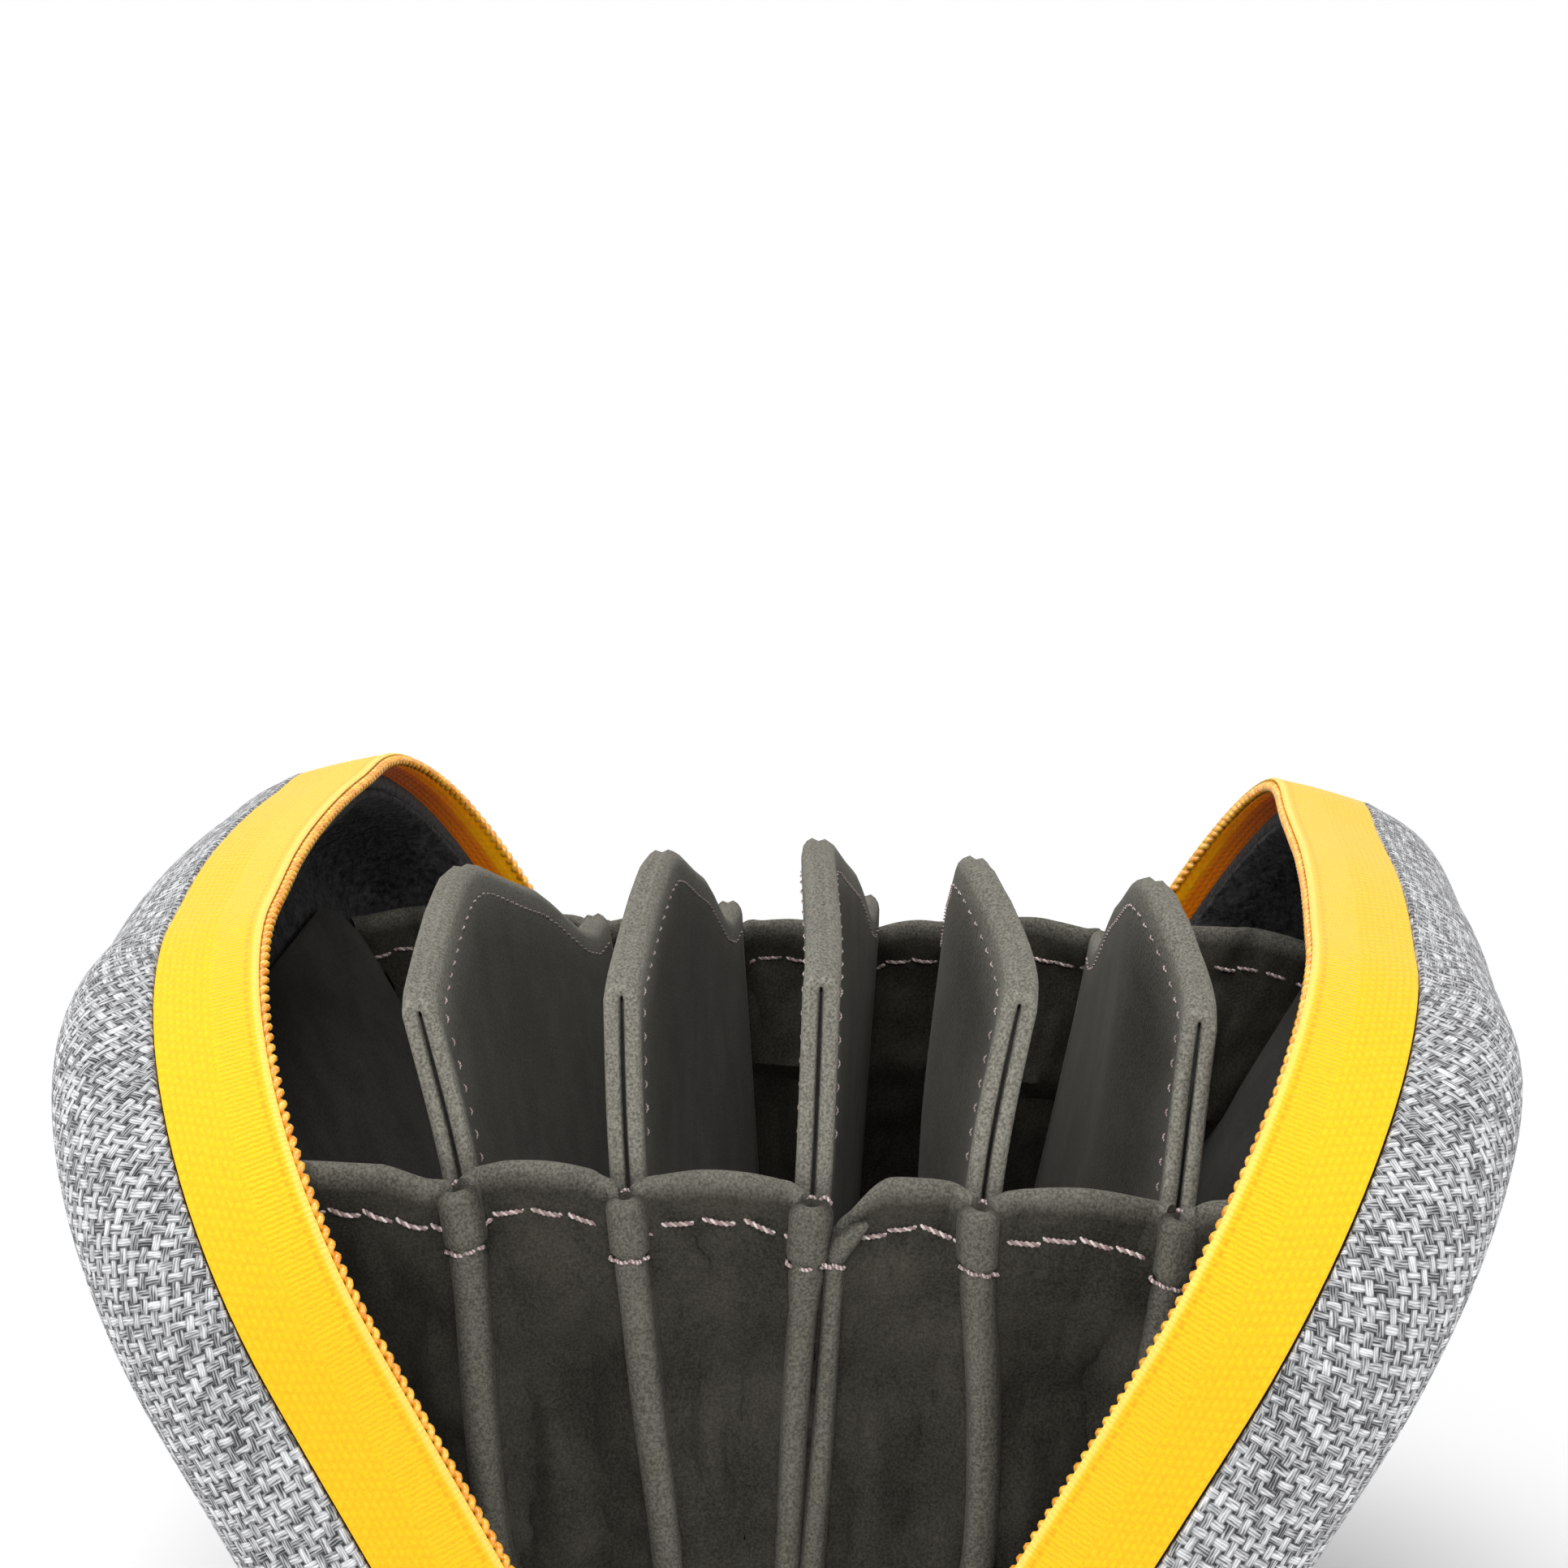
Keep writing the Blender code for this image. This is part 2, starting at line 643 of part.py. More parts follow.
def add_slider(prefix, end, stand_height):
    """A slider where the zip ends beside the hinge, and its pull, drooping until it meets the table."""
    y = CASE_WIDTH / 2 - CORNER_RADIUS + CORNER_RADIUS * sin(SLIDER_ANGLE)
    z = CORNER_RADIUS * (1 - cos(SLIDER_ANGLE))
    turn = 0 if end == FRONT else pi
    seat = add_empty(prefix + "_slider_seat", case, (0, end * y, z), (pi - SLIDER_ANGLE, 0, turn))

    name = prefix + "_slider"
    body = plate_mesh(name, slider_section(), SLIDER_LENGTH)
    slider = add_part(name, body, dark_metal, seat, rotation=ACROSS_Y)
    name += "_bridge"
    bridge = add_tool(name, plate_mesh(name, bridge_outline(), BRIDGE_WIDTH), seat, rotation=ACROSS_X)
    add_boolean(slider, bridge, "UNION")

    pivot = OUTER_PLATE_CLEARANCE + OUTER_PLATE_THICKNESS + BRIDGE_ROOM / 2
    room_below = stand_height + z - pivot * cos(SLIDER_ANGLE)
    drop = room_below - PULL_THICKNESS / 2 - PULL_FLOOR_CLEARANCE
    droop = SLIDER_ANGLE + asin(drop / PULL_LENGTH)
    axis = add_empty(prefix + "_pull_axis", seat, (0, 0, pivot), (droop, 0, 0))
    name = prefix + "_pull"
    add_part(name, flat_curve(name, pull_outlines(), PULL_THICKNESS), dark_metal, axis)


def lowest_point(part):
    """Lowest height that a part reaches, as its modifiers leave it."""
    bpy.context.view_layer.update()
    graph = bpy.context.evaluated_depsgraph_get()
    shape = part.evaluated_get(graph)
    return min((shape.matrix_world @ vertex.co).z for vertex in shape.data.vertices)


# Assembly

clear_scene()
case_parts = add_collection("Lens filter case")
tools = add_collection("Cutters")

weave = add_material("Grey woven cover", (0.3, 0.31, 0.32), 0.9)
foam = add_material("Black foam core", (0.03, 0.03, 0.03), 0.85)
fleece = add_material("Black fleece", (0.02, 0.02, 0.022), 1)
zip_yellow = add_material("Yellow zip tape", (0.95, 0.53, 0.02), 0.7)
coil_orange = add_material("Orange zip coil", (0.85, 0.3, 0.01), 0.4)
black_fabric = add_material("Black hinge fabric", (0.03, 0.03, 0.032), 0.9)
suede = add_material("Olive grey suede", (0.055, 0.052, 0.04), 0.95)
board = add_material("Stiffening board", (0.05, 0.05, 0.05), 0.6)
dark_metal = add_material("Dark zinc slider", (0.08, 0.08, 0.085), 0.35, 1)

case = add_empty("case")

left_cover = add_half(LEFT, "left")
right_cover = add_half(RIGHT, "right")
stand_height = -min(lowest_point(left_cover), lowest_point(right_cover))

leaves = [(-HALF_LEAN, -panel_face(), True)]
for number, (lean, top_room) in enumerate(DIVIDERS, 1):
    offset = (number - MIDDLE_DIVIDER) * divider_pitch()
    add_divider(number, (lean, offset), top_room)
    leaves.append((lean, offset, False))
leaves.append((HALF_LEAN, panel_face(), True))

for number, (left, right) in enumerate(zip(leaves, leaves[1:]), 1):
    add_pocket(number, left, right)

fold_half = HINGE_WIDTH / 2
fold = tube_curve("hinge_fold", [(0, -fold_half, 0), (0, fold_half, 0)], HINGE_FOLD_RADIUS)
add_part("hinge_fold", fold, black_fabric, case)

add_slider("front", FRONT, stand_height)
add_slider("back", BACK, stand_height)

case.location.z = stand_height
print("hinge line over the table:", round(stand_height / MM, 3), "mm")
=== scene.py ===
# %% [markdown]
# # A lens filter case, standing open
#
# A zip-up hard case for round camera filters stands open in a V, on the lower corners of its two
# halves. Each half is a moulded bowl: a grey woven cover, a foam core and black fleece inside, with
# a yellow zip tape round its mouth. Between the halves hangs an accordion of suede: five dividers
# with ribs on their edges, and gussets from rib to rib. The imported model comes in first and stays
# as it is. Every piece made here rides on one of its bodies.

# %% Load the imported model
from math import cos, pi, radians, sin, sqrt

import bmesh
import bpy
import numpy as np
from mathutils import Matrix, Vector


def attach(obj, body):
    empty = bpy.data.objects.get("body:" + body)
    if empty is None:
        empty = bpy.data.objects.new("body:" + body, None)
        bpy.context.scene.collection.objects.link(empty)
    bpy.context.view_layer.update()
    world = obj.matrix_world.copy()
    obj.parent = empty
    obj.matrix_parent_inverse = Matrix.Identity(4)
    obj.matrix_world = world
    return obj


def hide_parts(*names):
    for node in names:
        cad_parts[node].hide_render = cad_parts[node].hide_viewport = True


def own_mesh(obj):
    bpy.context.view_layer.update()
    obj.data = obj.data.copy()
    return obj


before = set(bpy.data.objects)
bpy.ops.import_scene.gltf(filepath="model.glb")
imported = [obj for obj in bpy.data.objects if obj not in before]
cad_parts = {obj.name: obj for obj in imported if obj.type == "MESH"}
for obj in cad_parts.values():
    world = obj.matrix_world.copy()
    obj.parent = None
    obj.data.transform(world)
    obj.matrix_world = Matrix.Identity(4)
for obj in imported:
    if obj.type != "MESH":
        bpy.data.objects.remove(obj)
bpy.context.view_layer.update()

# %% [markdown]
# ## Where everything is
#
# The case folds about one line, the hinge line, which runs along Y a little over the table. Each
# half and each divider is a leaf that leans away from upright about that line. A piece of a leaf is
# worked out standing upright, as (across the leaf, along the hinge, up the leaf), and then leaned
# over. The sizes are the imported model's own, in metres, so nothing has to be fitted by eye.

# %% Sizes of the case
MM = 0.001
GAP = 0.3 * MM
HINGE_HEIGHT = 11.225 * MM
HALF_LEAN = radians(28.4)
CASE_WIDTH = 125 * MM
CASE_HEIGHT = 107.2 * MM
CORNER_RADIUS = 35.4 * MM
CORNER_ACROSS = CASE_WIDTH / 2 - CORNER_RADIUS
HINGE_WIDTH = 52 * MM
SHELL_DEPTH = 25 * MM
SIDES = (("left", -1), ("right", 1))
print("the mouth of a half:", CASE_WIDTH / MM, "x", CASE_HEIGHT / MM, "mm")


# %% Lean a leaf's points over
def lean_over(points, lean):
    """Points of an upright leaf, leaned over about the hinge line, in the frame of the whole case."""
    x, y, z = np.asarray(points, float).T
    upright = z * cos(lean) - x * sin(lean) + HINGE_HEIGHT
    return np.column_stack((x * cos(lean) + z * sin(lean), y, upright))


print("top of a half:", np.round(lean_over([(0, 0, CASE_HEIGHT)], HALF_LEAN)[0] / MM, 1), "mm")


# %% Smooth curves through numbers
def smooth_steps(share):
    share = np.clip(share, 0, 1)
    return share * share * (3 - 2 * share)


def smooth_through(at, places, values):
    """A smooth curve through the values at the places."""
    slopes = np.gradient(values, places)
    at = np.clip(at, places[0], places[-1])
    k = np.clip(np.searchsorted(places, at) - 1, 0, len(places) - 2)
    step = places[k + 1] - places[k]
    t = (at - places[k]) / step
    low, high = np.asarray(values, float)[k], np.asarray(values, float)[k + 1]
    bend = slopes[k] * step * t * (1 - t) ** 2 - slopes[k + 1] * step * t**2 * (1 - t)
    return low + (high - low) * t * t * (3 - 2 * t) + bend


print("half way through 0, 1, 4:", smooth_through(0.5, np.array([0, 1, 2]), (0, 1, 4)))

# %% [markdown]
# ## A toolbox for meshes
#
# Most pieces here are lofts: closed loops of points, joined one after the other, with a lid on the
# first and the last. A loft is closed by its making, so its normals can be turned outwards for sure.
# The object of a piece stays at the origin, with its place in its mesh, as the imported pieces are.


# %% Loft loops of points into a closed mesh
def loft_faces(rows, columns):
    """Faces between loops of points, and a lid on the first and the last loop."""
    faces = []
    for row in range(rows - 1):
        low, high = row * columns, (row + 1) * columns
        for k in range(columns):
            after = (k + 1) % columns
            faces.append((low + k, low + after, high + after, high + k))
    faces.append(tuple(range(columns)))
    faces.append(tuple((rows - 1) * columns + k for k in range(columns)))
    return faces


# %% Make an object of points and faces
def link_object(name, data):
    """A new object in the scene, at the origin."""
    made = bpy.data.objects.new(name, data)
    bpy.context.scene.collection.objects.link(made)
    return made


def add_piece(name, points, faces, material, uv=None, wear_and_highlight=None, smooth_angle=50):
    """A piece whose mesh holds its place, with its faces outwards. uv and wear have a value a point."""
    mesh = bpy.data.meshes.new(name)
    mesh.from_pydata([tuple(point) for point in points], [], faces)
    if uv is not None:
        corners = np.empty(len(mesh.loops), int)
        mesh.loops.foreach_get("vertex_index", corners)
        layer = mesh.uv_layers.new(name="Surface")
        layer.data.foreach_set("uv", np.asarray(uv, float)[corners].ravel())
    if wear_and_highlight is not None:
        attribute = mesh.attributes.new("Wear_and_highlight", "FLOAT", "POINT")
        attribute.data.foreach_set("value", np.asarray(wear_and_highlight, np.float32).ravel())
    bm = bmesh.new()
    bm.from_mesh(mesh)
    bmesh.ops.recalc_face_normals(bm, faces=bm.faces)
    bm.to_mesh(mesh)
    bm.free()
    mesh.shade_smooth()
    mesh.set_sharp_from_angle(angle=radians(smooth_angle))
    mesh.materials.append(material)
    return link_object(name, mesh)


def add_loft(name, loops, material, uv=None, wear_and_highlight=None):
    """A piece lofted through loops with the same number of points each."""
    loops = np.asarray(loops, float)
    rows, columns = loops.shape[:2]
    if uv is not None:
        uv = np.asarray(uv, float).reshape(-1, 2)
    return add_piece(name, loops.reshape(-1, 3), loft_faces(rows, columns), material, uv, wear_and_highlight)


# %% Hand a finished piece to its body
def settle(piece, body, slot, *nodes):
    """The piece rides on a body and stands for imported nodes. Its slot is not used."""
    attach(piece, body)
    if nodes:
        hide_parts(*nodes)
    return piece


# %% [markdown]
# ## A toolbox for node trees
#
# Shaders and Geometry Nodes are both graphs of small steps. A few helpers keep them readable: one
# adds a node and fills its inputs with values or links, one does arithmetic, and one makes a group
# with named inputs and outputs, so that a pattern is built once and used by many materials.


# %% Helpers for node trees
class Graph:
    """A node tree being built."""

    def __init__(self, tree):
        self.tree = tree

    def add(self, kind, inputs=None, **settings):
        node = self.tree.nodes.new(kind)
        for key, value in settings.items():
            setattr(node, key, value)
        for key, value in (inputs or {}).items():
            self.feed(node.inputs[key], value)
        return node

    def feed(self, socket, value):
        if isinstance(value, bpy.types.NodeSocket):
            self.tree.links.new(value, socket)
        else:
            socket.default_value = value

    def sum(self, operation, *values):
        """One step of arithmetic on numbers."""
        node = self.add("ShaderNodeMath", operation=operation)
        for socket, value in zip(node.inputs, values):
            self.feed(socket, value)
        return node.outputs[0]

    def blend(self, share, low, high):
        """A colour between low and high."""
        node = self.add("ShaderNodeMix", data_type="RGBA")
        for key, value in (("Factor_Float", share), ("A_Color", low), ("B_Color", high)):
            self.feed(next(s for s in node.inputs if s.identifier == key), value)
        return next(s for s in node.outputs if s.identifier == "Result_Color")

    def between(self, value, low, high, floor=0.0, ceiling=1.0):
        """A number moved smoothly from one range to another."""
        node = self.add("ShaderNodeMapRange", interpolation_type="SMOOTHSTEP")
        for key, number in (("Value", value), ("From Min", low), ("From Max", high)):
            self.feed(node.inputs[key], number)
        self.feed(node.inputs["To Min"], floor)
        self.feed(node.inputs["To Max"], ceiling)
        return node.outputs[0]


# %% Make a shader group
SOCKETS = {"vector": "NodeSocketVector", "number": "NodeSocketFloat", "colour": "NodeSocketColor"}


def new_group(name, inputs, outputs):
    """A shader group. Inputs are (name, kind, start value), outputs are (name, kind)."""
    tree = bpy.data.node_groups.new(name, "ShaderNodeTree")
    for label, kind, start in inputs:
        socket = tree.interface.new_socket(label, in_out="INPUT", socket_type=SOCKETS[kind])
        if start is not None:
            socket.default_value = start
    for label, kind in outputs:
        tree.interface.new_socket(label, in_out="OUTPUT", socket_type=SOCKETS[kind])
    graph = Graph(tree)
    return graph, graph.add("NodeGroupInput").outputs, graph.add("NodeGroupOutput").inputs


def new_material(name, **shader):
    """A material with its shader's own sockets set. Returns its graph and the shader."""
    material = bpy.data.materials.new(name)
    material.use_nodes = True
    graph = Graph(material.node_tree)
    principled = material.node_tree.nodes["Principled BSDF"]
    for key, value in shader.items():
        principled.inputs[key.replace("_", " ")].default_value = value
    return material, graph, principled


def dress(graph, shader, colour, height, strength, depth):
    """Feeds a shader its colour, and bumps its surface by a height."""
    bump = {"Strength": strength, "Distance": depth, "Height": height}
    graph.feed(shader.inputs["Base Color"], colour)
    graph.feed(shader.inputs["Normal"], graph.add("ShaderNodeBump", bump).outputs[0])


print("kinds of socket:", *SOCKETS)


# %% [markdown]
# ## Grey woven cloth
#
# The cover is a plain weave of thick heathered yarn: every thread goes over one and under one, and
# each thread is itself a bundle of light and dark filaments. A picture of cloth would blur up close
# and can't be scaled, so the weave is worked out from the cover's own map, which is laid out in
# millimetres. Each thread has a round height across it and rises and dips along it, in turn with its
# neighbours. The higher of the two threads is the one that is seen, so floats come out longer than
# wide, with a hole at each of their corners. The threads' round sides and the holes are darkened
# with painted shade.

# %% Weave group
PALE_YARN = (0.86, 0.87, 0.89, 1)
DARK_YARN_AND_SHADE = (0.03, 0.031, 0.034, 1)
TURN = 2 * pi


def weave_group():
    """Colour and height of a plain weave, for a map in millimetres."""
    graph, given, put_out = new_group(
        "Plain weave of heathered yarn",
        [
            ("Map", "vector", None),
            ("Warp pitch", "number", 1.08),
            ("Weft pitch", "number", 1.28),
            ("Thread width", "number", 0.82),
            ("Filaments", "number", 4.0),
            ("Dark", "colour", DARK_YARN_AND_SHADE),
            ("Light", "colour", PALE_YARN),
        ],
        [("Colour", "colour"), ("Height", "number")],
    )
    sway = graph.add("ShaderNodeTexNoise", {"Vector": given["Map"], "Scale": 0.3, "Detail": 2.0})
    shift = graph.add("ShaderNodeVectorMath", {0: sway.outputs["Color"], "Scale": 0.5}, operation="SCALE")
    moved = graph.add("ShaderNodeVectorMath", {0: given["Map"], 1: shift.outputs[0]}, operation="ADD")
    place = graph.add("ShaderNodeSeparateXYZ", {0: moved.outputs[0]}).outputs
    u = graph.sum("DIVIDE", place["X"], given["Warp pitch"])
    v = graph.sum("DIVIDE", place["Y"], given["Weft pitch"])
    column, row = graph.sum("FLOOR", u), graph.sum("FLOOR", v)
    across = graph.sum("SUBTRACT", graph.sum("FRACT", u), 0.5)
    along = graph.sum("SUBTRACT", graph.sum("FRACT", v), 0.5)

    def body(sideways, run, number, way):
        """Height of a thread, 0 beside it. It rises and dips in turn along its run."""
        side = graph.sum("DIVIDE", graph.sum("MULTIPLY", sideways, 2.0), given["Thread width"])
        dome = graph.sum("SUBTRACT", 1.0, graph.sum("MULTIPLY", side, side))
        dome = graph.sum("SQRT", graph.sum("MAXIMUM", dome, 0.0))
        wave = graph.sum("SINE", graph.sum("MULTIPLY", graph.sum("ADD", run, number), pi))
        return graph.sum("MULTIPLY", dome, graph.sum("MULTIPLY_ADD", wave, 0.42 * way, 0.58))

    def filaments(sideways, fine, slow, number, salt):
        """Tone of the filaments that run along a thread."""
        spot = {0: graph.sum("MULTIPLY", fine, 2.2), 1: graph.sum("MULTIPLY", slow, 0.5)}
        spot[2] = graph.sum("MULTIPLY_ADD", number, 3.7, salt)
        spot = graph.add("ShaderNodeCombineXYZ", spot).outputs[0]
        shade = graph.add("ShaderNodeTexNoise", {"Vector": spot, "Scale": 1.0, "Detail": 2.0}).outputs[0]
        twist = graph.sum("MULTIPLY_ADD", shade, 1.2, graph.sum("MULTIPLY", slow, 0.35))
        wave = graph.sum("MULTIPLY_ADD", sideways, given["Filaments"], twist)
        wave = graph.sum("COSINE", graph.sum("MULTIPLY", wave, TURN))
        tone = graph.sum("MULTIPLY", graph.between(shade, 0.34, 0.66), 0.62)
        return graph.sum("MULTIPLY_ADD", wave, 0.2, graph.sum("ADD", tone, 0.14))

    warp, weft = body(across, v, column, 1), body(along, u, row, -1)
    weft_top = graph.sum("GREATER_THAN", weft, warp)
    warp_top = graph.sum("SUBTRACT", 1.0, weft_top)

    def on_top(warp_value, weft_value):
        """The warp's value where the warp is on top, the weft's elsewhere."""
        weft_share = graph.sum("MULTIPLY", weft_value, weft_top)
        return graph.sum("MULTIPLY_ADD", warp_value, warp_top, weft_share)

    height = graph.sum("MAXIMUM", warp, weft)
    streak = on_top(filaments(across, u, v, column, 11.0), filaments(along, v, u, row, 57.0))
    spans = [
        graph.sum("FLOOR", graph.sum("MULTIPLY", graph.sum("ADD", graph.sum("ADD", run, number), shift), 0.5))
        for run, number, shift in ((v, column, 0.5), (u, row, -0.5))
    ]
    cell = {0: on_top(column, row), 1: on_top(*spans), 2: weft_top}
    cell = graph.add("ShaderNodeCombineXYZ", cell).outputs[0]
    luck = graph.add("ShaderNodeTexWhiteNoise", {"Vector": cell}, noise_dimensions="3D").outputs["Value"]
    tone = graph.sum("MULTIPLY_ADD", graph.sum("SUBTRACT", luck, 0.5), 0.26, streak)
    # Painted shade: the tone darkens down each thread's round sides and into the holes between threads.
    tone = graph.sum("MULTIPLY", tone, graph.between(height, 0.1, 0.6, 0.0, 1.0))
    tone = graph.sum("MINIMUM", graph.sum("MAXIMUM", tone, 0.0), 1.0)
    graph.feed(put_out["Colour"], graph.blend(tone, given["Dark"], given["Light"]))
    ridges = graph.sum("MULTIPLY_ADD", streak, 0.3, 0.75)
    graph.feed(put_out["Height"], graph.sum("MULTIPLY", height, ridges))
    return graph.tree


weave = weave_group()
print("weave group:", len(weave.nodes), "nodes")


# %% Material of the cover
def cover_material():
    material, graph, shader = new_material(
        "Grey woven cover", Roughness=0.85, Sheen_Weight=0.15, Sheen_Roughness=0.5, Specular_IOR_Level=0.25
    )
    chart = graph.add("ShaderNodeUVMap", uv_map="Surface").outputs[0]
    cloth = graph.add("ShaderNodeGroup", {"Map": chart}, node_tree=weave).outputs
    dress(graph, shader, cloth["Colour"], cloth["Height"], 1.0, 0.4 * MM)
    return material


woven_grey = cover_material()
print("cover material:", woven_grey.name)

# %% [markdown]
# ## Suede
#
# The insert is napped microsuede, dark olive grey. Its fibres stand up in a short nap that catches
# light along edges and rolls, which is what a sheen layer does. Brushing leaves cloudy lighter and
# darker patches a few millimetres wide, and close up the nap is a fine grain. Noise in object
# coordinates gives both, so every piece of suede has the same grain at the same size. Lips, hem
# tops and the outer sides of rolls are painted paler too: partly rubbed suede, partly a painted
# highlight.

# %% Nap group
DEEP_SUEDE = (0.0125, 0.0118, 0.0092, 1)
LIGHT_SUEDE = (0.062, 0.0585, 0.0465, 1)
WORN_AND_LIT_SUEDE = (0.35, 0.335, 0.284, 1)


def nap_group():
    """Colour and height of brushed nap."""
    graph, given, put_out = new_group(
        "Brushed nap",
        [
            ("Place", "vector", None),
            ("Grain", "number", 6000.0),
            ("Patches", "number", 180.0),
            ("Deep", "colour", DEEP_SUEDE),
            ("Light", "colour", LIGHT_SUEDE),
            ("Worn_and_lit", "colour", WORN_AND_LIT_SUEDE),
            ("Wear_and_highlight", "number", 0.0),
        ],
        [("Colour", "colour"), ("Height", "number")],
    )
    noise = {"Vector": given["Place"], "Detail": 3.0, "Roughness": 0.6}
    grain = graph.add("ShaderNodeTexNoise", {**noise, "Scale": given["Grain"]}).outputs[0]
    cloud = graph.add("ShaderNodeTexNoise", {**noise, "Scale": given["Patches"]}).outputs[0]
    fine = graph.between(grain, 0.22, 0.78)
    broad = graph.between(cloud, 0.34, 0.68)
    tone = graph.sum("ADD", graph.sum("MULTIPLY", fine, 0.68), graph.sum("MULTIPLY", broad, 0.32))
    colour = graph.blend(tone, given["Deep"], given["Light"])
    # Painted highlight: lips, hem tops and the outer sides of rolls are mixed towards the pale colour, which
    # also stands for rubbed suede.
    worn_and_lit = graph.sum("MULTIPLY", given["Wear_and_highlight"], graph.between(grain, 0.3, 0.7, 0.35, 1.0))
    graph.feed(put_out["Colour"], graph.blend(worn_and_lit, colour, given["Worn_and_lit"]))
    graph.feed(put_out["Height"], graph.sum("MULTIPLY_ADD", cloud, 0.6, graph.sum("MULTIPLY", grain, 0.7)))
    return graph.tree


nap = nap_group()
print("nap group:", len(nap.nodes), "nodes")


# %% Materials of napped cloth
def napped_material(name, nap_values, sheen, depth):
    """A napped cloth. A piece's own attribute, where it has one, makes its edges paler: rubbed suede and
    painted highlight.
    """
    material, graph, shader = new_material(
        name, Roughness=0.95, Sheen_Weight=sheen, Sheen_Roughness=0.35, Specular_IOR_Level=0.1
    )
    shader.inputs["Sheen Tint"].default_value = (0.85, 0.83, 0.76, 1)
    place = graph.add("ShaderNodeTexCoord").outputs["Object"]
    wear_and_highlight = graph.add("ShaderNodeAttribute", attribute_name="Wear_and_highlight").outputs["Fac"]
    given = {"Place": place, "Wear_and_highlight": wear_and_highlight, **nap_values}
    brushed = graph.add("ShaderNodeGroup", given, node_tree=nap).outputs
    dress(graph, shader, brushed["Colour"], brushed["Height"], 0.8, depth)
    return material


SUEDE = {"Deep": DEEP_SUEDE, "Light": LIGHT_SUEDE, "Grain": 3600.0, "Patches": 110.0}
PANEL_SUEDE = {**SUEDE, "Deep": (0.012, 0.012, 0.011, 1), "Light": (0.06, 0.058, 0.054, 1)}
FLEECE = {
    "Deep": (0.002, 0.002, 0.002, 1),
    "Light": (0.07, 0.07, 0.074, 1),
    "Grain": 1400.0,
    "Patches": 420.0,
}
suede = napped_material("Olive grey suede", SUEDE, 0.1, 0.2 * MM)
panel_suede = napped_material("Black suede", PANEL_SUEDE, 0.1, 0.2 * MM)
fleece = napped_material("Black fleece", FLEECE, 0.1, 0.7 * MM)
print("napped materials:", suede.name, panel_suede.name, fleece.name)

# %% [markdown]
# ## Yellow zip tape, coil and the rest
#
# The tape is woven of golden polyester. Near the coil it has fine ribs straight across, and further
# out a pebbled zone of small floats in rows. Both repeat, so they come from cosines of the tape's
# own map, in millimetres along and across. The coil is nylon, orange and slightly glassy.

# %% Tape group
YELLOW = (1.0, 0.565, 0.006, 1)
ORANGE = (1.0, 0.42, 0.003, 1)
PALE_YELLOW = (1.0, 0.7, 0.14, 1)
# Painted light and shade for the tape's inner face: the rim colour is the lit band along its edge, the deeper
# orange the shade further in.
LIT_INNER_RIM = (1.0, 0.5, 0.0, 1)
SHADED_INNER_ORANGE = (1.0, 0.27, 0.0, 1)
INNER_PLACE = 20.0


def tape_group():
    """Tone and height of the zip tape's weave. X runs along the tape, Y across from the coil."""
    graph, given, put_out = new_group(
        "Ribbed zip tape",
        [
            ("Map", "vector", None),
            ("Rib pitch", "number", 0.52),
            ("Rib zone end", "number", 4.4),
            ("Float pitch", "number", 1.05),
            ("Row pitch", "number", 0.66),
            ("Stitch pitch", "number", 1.2),
        ],
        [("Tone", "number"), ("Height", "number")],
    )
    place = graph.add("ShaderNodeSeparateXYZ", {0: given["Map"]}).outputs

    def waves(position, pitch):
        """From 0 to 1 and back, once in each pitch."""
        turn = graph.sum("MULTIPLY", graph.sum("DIVIDE", position, pitch), TURN)
        return graph.sum("MULTIPLY_ADD", graph.sum("COSINE", turn), 0.5, 0.5)

    rough = graph.add("ShaderNodeTexNoise", {"Vector": given["Map"], "Scale": 1.3, "Detail": 3.0}).outputs[0]
    wander = graph.sum("MULTIPLY_ADD", rough, 0.5, place["X"])
    rib = waves(wander, given["Rib pitch"])
    number = graph.sum("FLOOR", graph.sum("DIVIDE", place["Y"], given["Row pitch"]))
    bead = waves(graph.sum("MULTIPLY_ADD", number, 0.39, wander), given["Float pitch"])
    pebble = graph.sum("MULTIPLY", bead, graph.sum("SUBTRACT", 1.0, waves(place["Y"], given["Row pitch"])))
    low, high = (graph.sum("ADD", given["Rib zone end"], way) for way in (-0.5, 0.5))
    outer = graph.between(place["Y"], low, high)
    inner = graph.sum("SUBTRACT", 1.0, outer)
    pattern = graph.sum("MULTIPLY_ADD", rib, inner, graph.sum("MULTIPLY", pebble, outer))
    fuzz = graph.add("ShaderNodeTexNoise", {"Vector": given["Map"], "Scale": 4.5, "Detail": 3.0}).outputs[0]
    grain = graph.sum("MULTIPLY_ADD", fuzz, 0.5, graph.sum("MULTIPLY", rough, 0.3))
    hole = graph.sum("MULTIPLY", waves(wander, given["Stitch pitch"]), graph.between(place["Y"], 0.75, 1.0))
    hole = graph.sum("MULTIPLY", hole, graph.between(place["Y"], 1.1, 1.35, 1.0, 0.0))
    tone = graph.sum("MULTIPLY_ADD", pattern, 0.26, grain)
    graph.feed(put_out["Tone"], graph.sum("MULTIPLY_ADD", hole, -0.45, tone))
    graph.feed(put_out["Height"], graph.sum("MULTIPLY_ADD", fuzz, 0.5, pattern))
    return graph.tree


tape_weave = tape_group()
print("tape group:", len(tape_weave.nodes), "nodes")


